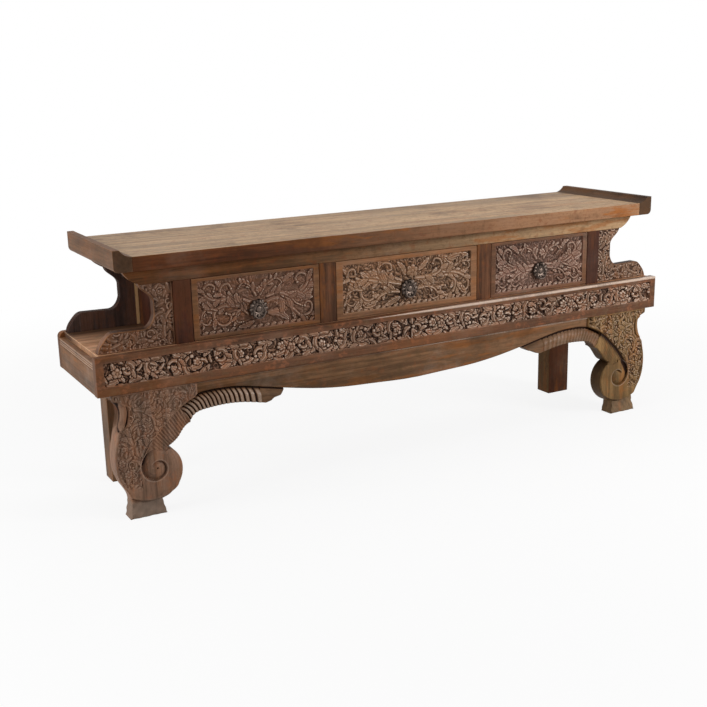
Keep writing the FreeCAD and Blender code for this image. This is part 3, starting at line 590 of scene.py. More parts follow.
class Relief:
    """Carving as heights above a sunk ground, on a grid over part of the front view."""

    def __init__(self, low, high, step, depth, gutter=2.4):
        counts = [int(math.ceil((end - start) / step)) + 1 for start, end in zip(low, high)]
        self.x = np.linspace(low[0], high[0], counts[0])
        self.z = np.linspace(low[1], high[1], counts[1])
        self.step = step
        self.depth = depth
        self.gutter = gutter
        self.height = np.zeros((counts[1], counts[0]))

    def window(self, points, reach):
        """The rows and columns of the grid within reach of some points."""
        low = points.min(0) - reach
        high = points.max(0) + reach
        columns = slice(*np.searchsorted(self.x, (low[0], high[0])))
        rows = slice(*np.searchsorted(self.z, (low[1], high[1])))
        return rows, columns

    def near(self, line, reach):
        """For the grid near a line: the window, the distance, the side and the share along it."""
        rows, columns = self.window(line, reach)
        x, z = np.meshgrid(self.x[columns], self.z[rows])
        distance, side, share = nearest_on(pairs(x, z), line)
        return (rows, columns), distance.reshape(x.shape), side.reshape(x.shape), share.reshape(x.shape)

    def around(self, centre, reach):
        """The grid round a centre: the window, the distance and the angle."""
        centre = np.asarray(centre, float)
        where = self.window(centre[None], reach)
        x, z = np.meshgrid(self.x[where[1]] - centre[0], self.z[where[0]] - centre[1])
        return where, np.hypot(x, z), np.arctan2(z, x)

    def lay(self, where, inside, top, undercut=0.7):
        """Puts a form on what is carved there, and cuts back its surroundings for a shadow."""
        old = self.height[where]
        old = old * (1 - undercut * smooth(-self.gutter, 0, inside))
        body = smooth(-0.4 * self.step, 0.8 * self.step, inside)
        self.height[where] = old * (1 - body) + np.maximum(top * self.depth, old * 0.4) * body

    def ribbon(self, line, start, end, lift=0.42, rise=0.5, ridges=2, fringe=0):
        """A scrolling band along a line, tapering between two half widths, with long ridges.

        fringe is the side, 1 for left and -1 for right, whose edge is cut into leaf points.
        """
        where, distance, side, share = self.near(line, max(start, end) * 2.2 + self.gutter)
        half = start + (end - start) * share
        sweep = share * len(line) / (2.9 * start) + 0.12 * distance / start
        saw = sweep % 1
        frilled = (side == fringe) & (fringe != 0)
        half = np.where(frilled, half * (1.1 + 1.15 * saw**1.3 * (1 - share)), half)
        across = np.clip(side * distance / half, -1, 1)
        ridge = 0.5 + 0.5 * np.cos(math.pi * ridges * across)
        cut = 0.7 * frilled * bell(np.minimum(saw, 1 - saw), 0, 0.16)
        cut = cut * smooth(0.3, 0.8, np.abs(across))
        top = lift + rise * np.sqrt(1 - across**2) * (0.36 + 0.64 * ridge) * (1 - cut)
        self.lay(where, half - distance, top)

    def plume(self, line, width, lobes=3, lift=0.36, rise=0.5, ridges=3):
        """A fluted leaf along a line: ridges that run to its tip, and a lobed edge."""
        where, distance, side, share = self.near(line, width * 1.2 + self.gutter)
        span = width * np.sin(np.pi * (0.14 + 0.86 * share)) ** 0.62
        sweep = lobes * share + 0.35 * (side > 0)
        span = span * (1 - 0.36 * (1 - sweep % 1) ** 1.6)
        across = np.clip(side * distance / np.maximum(span, 0.1), -1, 1)
        ridge = 0.5 + 0.5 * np.cos(math.pi * ridges * across * (1 - 0.3 * share))
        top = lift + rise * np.sqrt(1 - across**2) * (0.4 + 0.6 * ridge) + 0.12 * share**2
        self.lay(where, span - distance, top)

    def flower(self, centre, radius, petals=6, turn=0.0, lift=0.42, rise=0.5):
        """A rosette: domed petals round a button."""
        where, distance, angle = self.around(centre, radius * 1.2 + self.gutter)
        lobe = np.abs(np.cos(petals * (angle - turn) / 2))
        rim = radius * (0.7 + 0.3 * lobe**0.7)
        out = np.clip(distance / rim, 0, 1)
        top = np.sin(np.pi * np.clip(out * 0.86 + 0.04, 0, 1)) * (1 - 0.5 * bell(lobe, 0, 0.3))
        top = np.where(distance < 0.34 * radius, 1.05 * dome(distance, 0.32 * radius), top)
        self.lay(where, rim - distance, lift + rise * top)

    def bud(self, centre, radius, lift=0.5, rise=0.46):
        """A round bead, as at the end of a scroll."""
        where, distance, _ = self.around(centre, radius + self.gutter)
        self.lay(where, radius - distance, lift + rise * dome(distance, radius))

    def taken(self, point, radius):
        """The share of the ground round a point that is carved already."""
        part = self.height[self.window(np.asarray(point, float)[None], radius)]
        return 1.0 if part.size == 0 else float((part > 0.25 * self.depth).mean())

    def fill(self, draw, size, tries, crowd=0.3):
        """Leaves in what is left of the ground."""
        for _ in range(tries):
            point = draw.uniform((self.x[0], self.z[0]), (self.x[-1], self.z[-1]))
            heading = draw.uniform(0, 2 * math.pi)
            reach = size * draw.uniform(0.75, 1.25)
            turn = draw.choice((-1, 1)) * draw.uniform(0.6, 1.8)
            middle = point + 0.5 * reach * np.array([math.cos(heading), math.sin(heading)])
            if self.taken(middle, reach * 0.42) < crowd:
                self.plume(winding(point, heading, reach, turn), reach * 0.26, 2, ridges=2)

    def carpet(self, draw, pitch, aim, lift=0.1, rise=0.34):
        """A lower layer of small leaves and curls over all of the ground."""
        x, z = np.meshgrid(np.arange(self.x[0], self.x[-1], pitch), np.arange(self.z[0], self.z[-1], pitch))
        spots = pairs(x, z)
        spots = draw.permutation(spots + draw.uniform(-0.45, 0.45, spots.shape) * pitch)
        for spot in spots:
            reach = pitch * draw.uniform(1.6, 2.5)
            heading = aim(spot) + draw.normal(0, 0.6)
            bend = draw.choice((-1, 1))
            if draw.random() < 0.28:
                curl = winding(spot, heading, reach * 1.3, bend * 4.6, 1.2)
                self.ribbon(curl, pitch * 0.2, pitch * 0.14, lift, rise, 1)
            else:
                self.plume(winding(spot, heading, reach, bend * draw.uniform(0.3, 1.5)), reach * 0.24, 2,
                           lift, rise, 2)

    def press(self, centre, radius, level):
        """Keeps the carving below a level round a centre, as under a metal plate."""
        where, distance, _ = self.around(centre, radius * 1.3)
        part = self.height[where]
        under = smooth(radius * 1.15, radius * 0.95, distance)
        self.height[where] = part + (np.minimum(part, level) - part) * under

    def soften(self):
        """Rubs the carving down a little, as wear does."""
        padded = np.pad(self.height, 1, mode="edge")
        self.height = (
            padded[:-2, 1:-1] + padded[2:, 1:-1] + padded[1:-1, :-2] + padded[1:-1, 2:]
            + 4 * padded[1:-1, 1:-1]) / 8

    def crests(self, radius):
        """How far each point stands above the mean of its near and wider surroundings, in depths."""
        above = 0
        for share, span in ((0.9, radius * 0.45), (0.6, radius * 1.3)):
            reach = max(1, int(round(span / self.step)))
            padded = np.pad(self.height, reach, mode="edge")
            summed = np.pad(padded.cumsum(0).cumsum(1), ((1, 0), (1, 0)))
            wide = 2 * reach + 1
            total = summed[wide:] - summed[:-wide]
            mean = (total[:, wide:] - total[:, :-wide]) / wide**2
            above = above + share * (self.height - mean)
        return above / self.depth

    def at(self, grid, x, z):
        """Values of a grid at other points of the front view."""
        column = np.clip(np.interp(x, self.x, np.arange(len(self.x))), 0, len(self.x) - 1.001)
        row = np.clip(np.interp(z, self.z, np.arange(len(self.z))), 0, len(self.z) - 1.001)
        left, low = column.astype(int), row.astype(int)
        across, up = column - left, row - low
        return (grid[low, left] * (1 - across) * (1 - up) + grid[low, left + 1] * across * (1 - up)
                + grid[low + 1, left] * (1 - across) * up + grid[low + 1, left + 1] * across * up)

    def read(self, x, z, radius=4):
        """The carving's height and crests at other points of the front view."""
        return self.at(self.height, x, z), self.at(self.crests(radius), x, z)


def nearest_on(points, line):
    """For points of the front view: the distance to a line, the side and the share along it."""
    distance = np.empty(len(points))
    nearest = np.empty(len(points), int)
    for first in range(0, len(points), 8000):
        part = points[first:first + 8000]
        away = (part[:, :1] - line[:, 0]) ** 2 + (part[:, 1:] - line[:, 1]) ** 2
        nearest[first:first + 8000] = away.argmin(1)
        distance[first:first + 8000] = np.sqrt(away.min(1))
    run = np.gradient(line, axis=0)
    offset = points - line[nearest]
    side = np.sign(run[nearest, 0] * offset[:, 1] - run[nearest, 1] * offset[:, 0])
    return distance, side, nearest / (len(line) - 1)


def scroll(relief, line, start, end, draw, leaves=5, knob=1.3, leaf=5.6):
    """A leafy ribbon that winds up to a knob, with leaves that spring from its outer side."""
    bends = [heading_at(line, min(share + 0.15, 1)) - heading_at(line, share) for share in (0.2, 0.45, 0.7)]
    fringe = -1 if sum(math.sin(bend) for bend in bends) > 0 else 1
    for late in (False, True):
        if late:
            relief.ribbon(line, start, end, fringe=fringe)
        for number, share in enumerate(np.linspace(0.1, 0.72, leaves)):
            if (number % 3 == 1) != late:
                continue
            side = -fringe if number % 4 == 2 else fringe
            size = leaf * start * (1.3 - 0.7 * share) * draw.uniform(0.85, 1.2)
            size = size * (1 if side == fringe else 0.75)
            out = heading_at(line, share) + side * draw.uniform(0.45, 0.85)
            leaf_line = winding(point_at(line, share), out, size, side * draw.uniform(-0.4, 1.4))
            relief.plume(leaf_line, size * 0.3, 4, ridges=4)
    if knob:
        relief.bud(line[-1], end * knob)


def box_mm(node):
    """The corners of a node in millimetres."""
    low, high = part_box(node)
    return np.array(low) / MM, np.array(high) / MM


def field_mm(node):
    """The sunk field in a board's front, read from its floor: low and high corners."""
    points = np.array([vertex.co for vertex in frame["nodes"][node].data.vertices]) / MM
    low, high = box_mm(node)
    floor = points[(points[:, 1] > low[1] + 1) & (points[:, 1] < high[1] - 1)]
    deepest = floor[floor[:, 1] > floor[:, 1].max() - 0.01]
    return deepest.min(0), deepest.max(0)


def placed(name, data):
    """An object for some data, in the scene's collection."""
    made = bpy.data.objects.new(name, data)
    bpy.context.scene.collection.objects.link(made)
    return made


def add_mesh(name, vertices, faces, attributes=None, sharp=60):
    """A mesh object from points in millimetres, smooth but for its sharp edges."""
    mesh = bpy.data.meshes.new(name)
    mesh.from_pydata(np.asarray(vertices) * MM, [], faces)
    for key, values in (attributes or {}).items():
        layer = mesh.attributes.new(key, "FLOAT", "POINT")
        layer.data.foreach_set("value", np.asarray(values, np.float32))
    mesh.polygons.foreach_set("use_smooth", [True] * len(mesh.polygons))
    mesh.set_sharp_from_angle(angle=math.radians(sharp))
    mesh.update()
    return placed(name, mesh)


def settle(piece, finish, body, node=None, seed=None):
    """Gives a finished piece its material, board seed and body, and hides the node it replaces."""
    piece.data.materials.clear()
    piece.data.materials.append(finish_named(finish))
    if seed is not None:
        layer = piece.data.attributes.new("board_seed", "FLOAT", "POINT")
        layer.data.foreach_set("value", np.full(len(piece.data.vertices), seed, np.float32))
    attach(piece, body)
    if node:
        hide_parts(node)
    return piece


def quads(rows, around=True):
    """The faces between neighbouring rows of point numbers, joined round their ends or left open."""
    rows = np.asarray(rows)
    beside = np.roll(rows, -1, 1)
    faces = np.stack([rows[:-1], beside[:-1], beside[1:], rows[1:]], -1)
    return (faces if around else faces[:, :-1]).reshape(-1, 4).tolist()


def closed_front(name, x, y, z, back, share, crest, sharp=60):
    """A closed board from a grid of points on its front, with straight sides and a plain back."""
    front = np.stack([x, y, z], -1).reshape(-1, 3)
    index = np.arange(x.size).reshape(x.shape)
    rim = np.concatenate([index[0, :-1], index[:-1, -1], index[-1, :0:-1], index[:0:-1, 0]])
    rear = x.size + np.arange(len(rim))
    behind = front[rim]
    behind[:, 1] = back
    faces = quads(index, False) + quads([rear, rim]) + [rear[::-1].tolist()]
    return add_mesh(name, np.vstack([front, behind]), faces, {
        "carve_depth": np.concatenate([share.ravel(), np.full(len(rim), 2)]),
        "carve_crest": np.concatenate([crest.ravel(), np.zeros(len(rim))])}, sharp)


def grid_lines(low, high, field_low, field_high, step, edge):
    """Grid lines across a board: close in its field and at its rounded edges."""
    rim = edge * np.array([0, 0.1, 0.3, 0.6, 1.0, 1.6])
    start = np.linspace(low + rim[-1], field_low - 1.2, max(2, int((field_low - low) / 4)))
    inner = np.linspace(field_low, field_high, int((field_high - field_low) / step) + 1)
    end = np.linspace(field_high + 1.2, high - rim[-1], max(2, int((high - field_high) / 4)))
    return np.concatenate([low + rim[:-1], start, [field_low - 0.5], inner, [field_high + 0.5], end,
                           (high - rim[:-1])[::-1]])


def edge_drop(distance, radius):
    """How far a rounded edge has fallen at a distance from it."""
    inside = np.clip(radius - distance, 0, radius)
    return radius - np.sqrt(radius**2 - inside**2)


def carved_board(name, node, relief, field_low, field_high, radius, wobble=0.35, wear_and_highlight=0.0):
    """A closed board whose front holds a relief in its sunk field."""
    low, high = box_mm(node)
    xs = grid_lines(low[0], high[0], field_low[0], field_high[0], relief.step, radius)
    zs = grid_lines(low[2], high[2], field_low[2], field_high[2], relief.step, radius)
    x, z = np.meshgrid(xs, zs)
    within = np.minimum(np.minimum(x - field_low[0], field_high[0] - x),
                        np.minimum(z - field_low[2], field_high[2] - z))
    depth = field_low[1] - low[1]
    carved, crest = relief.read(x, z)
    border = depth - wobble * (1 + np.sin(x * 0.11 + z * 0.07) * np.sin(x * 0.047 - z * 0.09)) * 0.5
    blend = smooth(-0.2, 1.3, within)
    height = border * (1 - blend) + np.minimum(carved, depth * 0.97) * blend
    margin = np.minimum(np.minimum(x - low[0], high[0] - x), np.minimum(z - low[2], high[2] - z))
    y = low[1] + depth - height + edge_drop(margin, radius)
    # Painted highlight: a faint light line along the field's edge, and along the board's top edge a light
    # line that is partly wear and partly painted highlight, brighter towards the right.
    crest = crest * smooth(0.5, 3, within) + 0.1 * bell(within, -1.4, 1.2)
    crest = crest + wear_and_highlight * bell(high[2] - z, 1.6, 1.5) * smooth(-300, 300, x)
    share = np.where(within > 0, height / depth, 2)
    return closed_front(name, x, y, z, high[1], share, crest)


def welded(node):
    """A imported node's mesh to work on, its doubled points joined."""
    work = bmesh.new()
    work.from_mesh(frame["nodes"][node].data)
    bmesh.ops.remove_doubles(work, verts=work.verts, dist=1e-6)
    return work


def outline_of(node, ceiling=None):
    """The outline of a node's back face in the front view, anticlockwise, in millimetres."""
    work = welded(node)
    back = max(vertex.co.y for vertex in work.verts)
    faces = {face for face in work.faces if all(abs(v.co.y - back) < 1e-5 for v in face.verts)}
    follow = {}
    for face in faces:
        for loop in face.loops:
            if sum(other in faces for other in loop.edge.link_faces) == 1:
                follow[loop.vert] = loop.link_loop_next.vert
    start = min(follow, key=lambda vertex: (vertex.co.z, vertex.co.x))
    loop = [start]
    while follow[loop[-1]] is not start:
        loop.append(follow[loop[-1]])
    points = np.array([(vertex.co.x, vertex.co.z) for vertex in loop]) / MM
    work.free()
    if ceiling is not None:
        points = points[points[:, 1] < ceiling + 0.01]
    ahead = np.roll(points, -1, 0)
    area = (points[:, 0] * ahead[:, 1] - ahead[:, 0] * points[:, 1]).sum()
    return points if area > 0 else points[::-1]


def resampled(loop, step):
    """A closed outline with its points about a step apart, its corners kept."""
    ahead = np.roll(loop, -1, 0) - loop
    behind = loop - np.roll(loop, 1, 0)
    turn = np.arctan2(ahead[:, 1] * behind[:, 0] - ahead[:, 0] * behind[:, 1], (ahead * behind).sum(1))
    corners = np.flatnonzero(np.abs(turn) > math.radians(22))
    loop = np.roll(loop, -corners[0], 0)
    corners = np.append(corners - corners[0], len(loop))
    closed = np.vstack([loop, loop[:1]])
    spans = []
    for first, last in zip(corners, corners[1:]):
        span = closed[first:last + 1]
        run = np.append(0, np.linalg.norm(np.diff(span, axis=0), axis=1).cumsum())
        marks = np.linspace(0, run[-1], max(1, int(round(run[-1] / step))), endpoint=False)
        spans.append(np.stack([np.interp(marks, run, span[:, axis]) for axis in (0, 1)], 1))
    return np.vstack(spans)


def from_outline(points, loop):
    """The distance of points from an outline, positive inside it."""
    ahead = np.roll(loop, -1, 0)
    best = np.full(len(points), 1e9)
    inside = np.zeros(len(points), bool)
    for a, b in zip(loop, ahead):
        run = b - a
        share = np.clip(((points - a) @ run) / (run @ run), 0, 1)
        best = np.minimum(best, np.hypot(*(points - a - share[:, None] * run).T))
        if a[1] != b[1]:
            crosses = (a[1] > points[:, 1]) != (b[1] > points[:, 1])
            where = (b[0] - a[0]) * (points[:, 1] - a[1]) / (b[1] - a[1]) + a[0]
            inside ^= crosses & (points[:, 0] < where)
    return np.where(inside, best, -best)


def slab(name, loop, step, front, back, face, hollow=None, rows=6, mirror=1, extra=None, side_share=1):
    """A closed piece: a carved face over an outline, side walls and a plain back.

    face(points, distance) gives the depth below the front plane, and the carving attributes.
    """
    low, high = loop.min(0), loop.max(0)
    x, z = np.meshgrid(*(np.arange(start + step / 2, end, step) for start, end in zip(low, high)))
    inner = pairs(x, z)
    inner = inner[from_outline(inner, loop) > 0.55 * step]
    points = np.vstack([loop, inner])
    count = len(loop)
    result = delaunay_2d_cdt([Vector(p) for p in points], [], [list(range(count))], 1, 1e-7)
    points = np.array([tuple(p) for p in result[0]])
    triangles = np.array(result[2])
    a, b, c = points[triangles[:, 0]], points[triangles[:, 1]], points[triangles[:, 2]]
    area = (b[:, 0] - a[:, 0]) * (c[:, 1] - a[:, 1]) - (b[:, 1] - a[:, 1]) * (c[:, 0] - a[:, 0])
    triangles[area < 0] = triangles[area < 0][:, ::-1]
    distance = np.maximum(from_outline(points, loop), 0)
    distance[:count] = 0
    depth, share, crest = face(points, distance)
    vertices = [np.stack([points[:, 0], front + depth, points[:, 1]], 1)]
    ahead = np.roll(loop, -1, 0) - np.roll(loop, 1, 0)
    outwards = np.stack([ahead[:, 1], -ahead[:, 0]], 1) / np.linalg.norm(ahead, axis=1)[:, None]
    faces = triangles.tolist()
    previous = np.arange(count)
    wall = []
    for row in range(1, rows + 1):
        level = row / rows
        sunk, shadow = np.zeros(count), np.zeros(count)
        if hollow is not None and row < rows:
            sunk, shadow = hollow(loop, level)
        # Each row of the walls takes side_share, less the painted shade that hollow gives it.
        wall.append(side_share - shadow)
        place = loop - outwards * sunk[:, None]
        y = vertices[0][:count, 1] * (1 - level) + back * level
        vertices.append(np.stack([place[:, 0], y, place[:, 1]], 1))
        current = len(points) + (row - 1) * count + np.arange(count)
        faces += quads([current, previous])
        previous = current
    faces.append(previous[::-1].tolist())
    share = np.concatenate([share] + wall)
    crest = np.concatenate([crest, np.zeros(rows * count)])
    vertices = np.vstack(vertices)
    if extra is not None:
        start, end = extra
        corners = np.array([(i, j, k) for k in (0, 1) for j in (0, 1) for i in (0, 1)])
        base = len(vertices)
        vertices = np.vstack([vertices, np.where(corners, end, start)])
        share = np.concatenate([share, np.ones(8)])
        crest = np.concatenate([crest, np.zeros(8)])
        sides = ((0, 2, 3, 1), (4, 5, 7, 6), (0, 1, 5, 4), (2, 6, 7, 3), (0, 4, 6, 2), (1, 3, 7, 5))
        faces += [[base + corner for corner in side] for side in sides]
    if mirror < 0:
        vertices[:, 0] *= -1
        faces = [face_points[::-1] for face_points in faces]
    return add_mesh(name, vertices, faces, {"carve_depth": share, "carve_crest": crest})


def worn_board(node, finish, body, width, seed):
    """A copy of a plain board with softly worn edges."""
    work = welded(node)
    bmesh.ops.dissolve_limit(work, angle_limit=math.radians(0.5), verts=work.verts, edges=work.edges)
    sharp = [edge for edge in work.edges if edge.calc_face_angle(0) > math.radians(40)]
    bmesh.ops.bevel(work, geom=sharp, offset=width, offset_type="OFFSET", segments=2, profile=0.6,
                    affect="EDGES", clamp_overlap=True)
    mesh = bpy.data.meshes.new(node + "_worn")
    work.to_mesh(mesh)
    work.free()
    mesh.polygons.foreach_set("use_smooth", [True] * len(mesh.polygons))
    piece = placed(node + "_worn", mesh)
    piece.modifiers.new("even_normals", "WEIGHTED_NORMAL").weight = 100
    return settle(evaluated(piece), finish, body, node, seed)


def evaluated(piece):
    """The piece as a plain mesh, with its modifiers worked in."""
    bpy.context.view_layer.update()
    graph = bpy.context.evaluated_depsgraph_get()
    mesh = bpy.data.meshes.new_from_object(piece.evaluated_get(graph))
    piece.modifiers.clear()
    piece.data = mesh
    return piece


# Each plain board: the finish that its copy takes, and a record slot.
PLAIN_BOARDS = {
    "top_plank_front": ("worn_top", "top_teak"), "top_plank_rear": ("worn_top", "top_teak"),
    "end_flange_left": ("dark_flange", "edge_teak"), "end_flange_right": ("right_flange", "edge_teak"),
    "base_rear_board": ("brown_rail", "base_teak"),
    "shelf_board_front": ("shelf_board", "base_teak"), "shelf_board_rear": ("shelf_board", "base_teak"),
    "cross_bearer": ("plain_inner_deep", "inner_teak"), "rear_leg_left": ("left_post", "base_teak"),
    "rear_leg_right": ("rear_post", "base_teak"),
    "case_stile": ("dark_stile", "case_teak"),
    "case_divider": ("divider", "case_teak"),
    "case_end_panel": ("end_panel", "case_teak"), "case_partition": ("plain_inner_deep", "inner_teak"),
    "case_back_panel": ("case_board", "case_teak"), "top_rail_front": ("brown_rail", "case_teak"),
    "top_rail_rear": ("brown_rail", "case_teak"), "rear_bracket": ("rear_bracket", "case_teak"),
    "drawer_side": ("plain_inner_deep", "inner_teak"), "drawer_back": ("plain_inner", "inner_teak"),
    "drawer_bottom": ("plain_inner", "inner_teak"), "drawer_runners": ("plain_inner_deep", "inner_teak"),
}


def body_of_node(node):
    for body, members in frame["record"]["behaviour"]["bodies"].items():
        if node in members:
            return body
    raise RuntimeError("no body holds %s" % node)


class TABLE_OT_boards(bpy.types.Operator):
    """Give every plain board worn edges and its own run of grain"""

    bl_idname = "table.boards"
    bl_label = "Plain boards"

    def execute(self, context):
        width = context.scene.table_carving.edge_wear
        for number, node in enumerate(sorted(frame["nodes"])):
            for prefix, (finish, slot) in PLAIN_BOARDS.items():
                if node.startswith(prefix):
                    worn_board(node, finish, body_of_node(node), width, number * 0.37)
        return {"FINISHED"}


def frieze_group(relief, x, middle, reach, up, kind, draw):
    """One repeat of the frieze: a fat scroll or a crossed flower, a counter scroll and broad leaves."""
    lean = draw.uniform(-0.3, 0.3)
    for spot, heading, size, bend in (
            ((0.2, -0.3), -up * 0.9, 0.36, up * 0.9), ((0.3, 0.5), up * 0.5, 0.32, -up * 1.2),
            ((0.6, -0.6), -up * 0.2, 0.3, up * 1.3), ((0.02, 0.6), up * 2.4, 0.28, up * 1.0),
            ((0.95, 0.5), up * 0.9, 0.26, -up * 1.4), ((0.5, 0.75), up * 3.0, 0.26, -up * 1.0),
            ((0.36, -0.85), -up * 0.1, 0.24, up * 0.5), ((0.8, 0.95), up * 0.1, 0.24, -up * 0.6)):
        start = (x + spot[0] * reach, middle + up * spot[1] * 26)
        size = reach * size * draw.uniform(1.05, 1.4)
        relief.plume(winding(start, heading + lean, size, bend), size * 0.28, 3)
    if kind:
        fat = winding((x - 0.1 * reach, middle + up * 25), math.pi - up * 0.6 + lean,
                      98 * draw.uniform(0.9, 1.1), up * draw.uniform(3.6, 4.6), 1.1)
        scroll(relief, fat, 6.8, 4.0, draw, 5, 1.4, 3.8)
    else:
        for turn in (0.6, 2.3, 3.7, 5.5):
            relief.plume(winding((x, middle), turn + lean, 31, draw.uniform(-0.8, 0.8)), 8.5, 3)
        relief.flower((x, middle), 14, 5, draw.uniform(0, 1))
    counter = winding((x + 0.26 * reach, middle - up * 23), up * 0.25 + lean, 62 * draw.uniform(0.9, 1.15),
                      up * draw.uniform(3.6, 4.8), 1.2)
    scroll(relief, counter, 6.0, 3.6, draw, 3, 1.3, 3.6)
    relief.flower((x + 0.76 * reach, middle + up * draw.uniform(-2, 8)), draw.uniform(11, 14), 6,
                  draw.uniform(0, 1))


class TABLE_OT_end_boards(bpy.types.Operator):
    """Run the beads along the top of the base's end boards"""

    bl_idname = "table.end_boards"
    bl_label = "End boards"

    def execute(self, context):
        for number, (word, side) in enumerate(SIDES):
            node = "base_end_board_" + word
            low, high = box_mm(node)
            inner, outer = sorted((abs(low[0]), abs(high[0])))
            fall = np.concatenate([
                [0, 0.4, 1.2, 2.4], np.arange(3.2, 22, 0.8), np.arange(24, 82, 6), [82.5, 84]])
            fall = fall * (high[2] - low[2]) / 84
            bead = np.abs(np.sin(np.clip(fall - 1.5, 0, 18) / 18 * 3 * math.pi)) ** 0.6
            cut = np.where((fall > 1.5) & (fall < 19.5), 2.2 * (1 - bead), 0)
            cut = cut + np.maximum(edge_drop(fall, 1.2), edge_drop(high[2] - low[2] - fall, 1.5))
            profile = [(inner, high[2])] + [(outer - sunk, high[2] - down) for sunk, down in zip(cut, fall)]
            profile = np.array(profile + [(inner, low[2])])
            ys = np.concatenate([[low[1]], np.arange(low[1] + 4, high[1], 12), [high[1]]])
            points = np.array([(side * x, y, z) for y in ys for x, z in profile])
            index = np.arange(len(points)).reshape(len(ys), len(profile))
            faces = quads(index) + [index[0][::-1].tolist(), index[-1].tolist()]
            # Painted highlight on the beads and painted shade in the grooves between them.
            crest = np.concatenate([[0], np.where(cut < 0.9, 0.2, -0.25) * (fall < 20) * (fall > 1), [0]])
            crest = np.tile(crest, len(ys))
            piece = outwards(add_mesh(node + "_moulded", points, faces, {
                "carve_crest": crest, "carve_depth": np.ones(len(crest))}, 40))
            settle(piece, "end_board", "table_frame", node, 8.1 + number)
        return {"FINISHED"}


class TABLE_OT_frieze(bpy.types.Operator):
    """Carve the vine into the frieze board"""

    bl_idname = "table.frieze"
    bl_label = "Carved frieze"

    def execute(self, context):
        carving = context.scene.table_carving
        node = "base_front_board"
        low, high = field_mm(node)
        depth = low[1] - box_mm(node)[0][1]
        relief = Relief(low[[0, 2]], high[[0, 2]], carving.frieze_step / MM, depth, 2.6)
        draw = np.random.default_rng(SEEDS["frieze"])
        reach = (high[0] - low[0]) / carving.frieze_repeats
        under = np.random.default_rng(SEEDS["frieze_ground"])
        relief.carpet(under, 9.5, lambda spot: under.uniform(0, 6.3), 0.04, 0.26)
        for number in range(carving.frieze_repeats):
            frieze_group(relief, low[0] + (number + 0.28) * reach, (low[2] + high[2]) / 2, reach,
                         1 if number % 2 else -1, number % 4 != 0, draw)
        relief.fill(draw, 27, 900, 0.3)
        relief.soften()
        piece = carved_board("frieze_board_carved", node, relief, low, high, carving.panel_round / MM,
                             wear_and_highlight=0.9)
        settle(piece, "carved_frieze", "table_frame", node, 0.4)
        return {"FINISHED"}


# Scrolls of each drawer front, in millimetres from the middle of its pull.
DRAWER_SCROLLS = {
    "left": (
        ((20, 14), (50, 20), (78, 6), (98, -14), (120, -32), (144, -26), (148, -6), (136, 2), (128, -8)),
        ((64, 32), (92, 28), (120, 34), (138, 52), (134, 70), (118, 76), (106, 66), (110, 54)),
        ((-18, 18), (-46, 30), (-76, 34), (-96, 48), (-92, 66), (-76, 70), (-68, 58)),
        ((-72, 36), (-104, 32), (-130, 42), (-140, 60), (-128, 74), (-112, 68), (-114, 56)),
        ((-20, 6), (-60, 14), (-94, 16), (-114, 2), (-110, -20), (-92, -31), (-74, -24), (-72, -8),
         (-84, -2)),
        ((-26, -10), (-44, 2), (-58, -8), (-56, -26), (-40, -28)),
        ((-108, 8), (-130, 14), (-146, 2), (-146, -18), (-132, -24), (-124, -14)),
        ((8, 34), (26, 58), (50, 70), (66, 60), (58, 48)),
        ((-4, 34), (-18, 58), (-38, 68), (-50, 56)),
        ((26, 28), (58, 33), (86, 20), (104, 2), (122, -8)),
    ),
    "middle": (
        ((-24, 24), (-56, 36), (-84, 44), (-94, 62), (-78, 76), (-58, 72), (-54, 58), (-66, 54)),
        ((-26, 14), (-70, 24), (-112, 28), (-144, 14), (-144, -8), (-126, -20), (-108, -12), (-112, 2)),
        ((-30, -6), (-66, -4), (-92, -14), (-108, -34), (-132, -38), (-142, -30)),
        ((-100, 30), (-136, 38), (-164, 34), (-186, 46), (-184, 66), (-168, 68), (-164, 56)),
        ((-146, 10), (-170, 14), (-190, 2), (-190, -20), (-174, -28), (-164, -18)),
        ((96, 24), (128, 22), (150, 4), (146, -22), (124, -34), (104, -22), (106, -6), (118, -6)),
        ((30, -4), (60, -2), (84, -12), (96, -32), (78, -38), (68, -28)),
        ((88, 32), (124, 32), (162, 24), (192, 4), (194, -18), (180, -26), (172, -14)),
        ((150, 46), (172, 56), (194, 54), (198, 38), (186, 32)),
        ((24, 26), (60, 26), (92, 32), (108, 48), (102, 68), (86, 72), (78, 60)),
    ),
    "right": (
        ((22, 16), (56, 14), (88, 18), (114, 32), (128, 52), (118, 68), (102, 64), (104, 52)),
        ((28, 6), (62, 0), (84, -12), (96, -30), (80, -38), (66, -28)),
        ((84, 12), (110, 2), (134, -8), (142, -26), (126, -36), (112, -26)),
        ((14, 34), (30, 56), (54, 66), (70, 54), (60, 42)),
        ((-22, 16), (-60, 13), (-92, 19), (-117, 35), (-127, 55), (-114, 70), (-100, 62), (-104, 51)),
        ((-28, 6), (-60, 2), (-84, -9), (-98, -27), (-84, -38), (-70, -30)),
        ((-84, 12), (-112, 5), (-136, -6), (-143, -24), (-128, -36), (-114, -28)),
        ((-12, 34), (-28, 58), (-52, 68), (-66, 56), (-57, 46)),
    ),
}
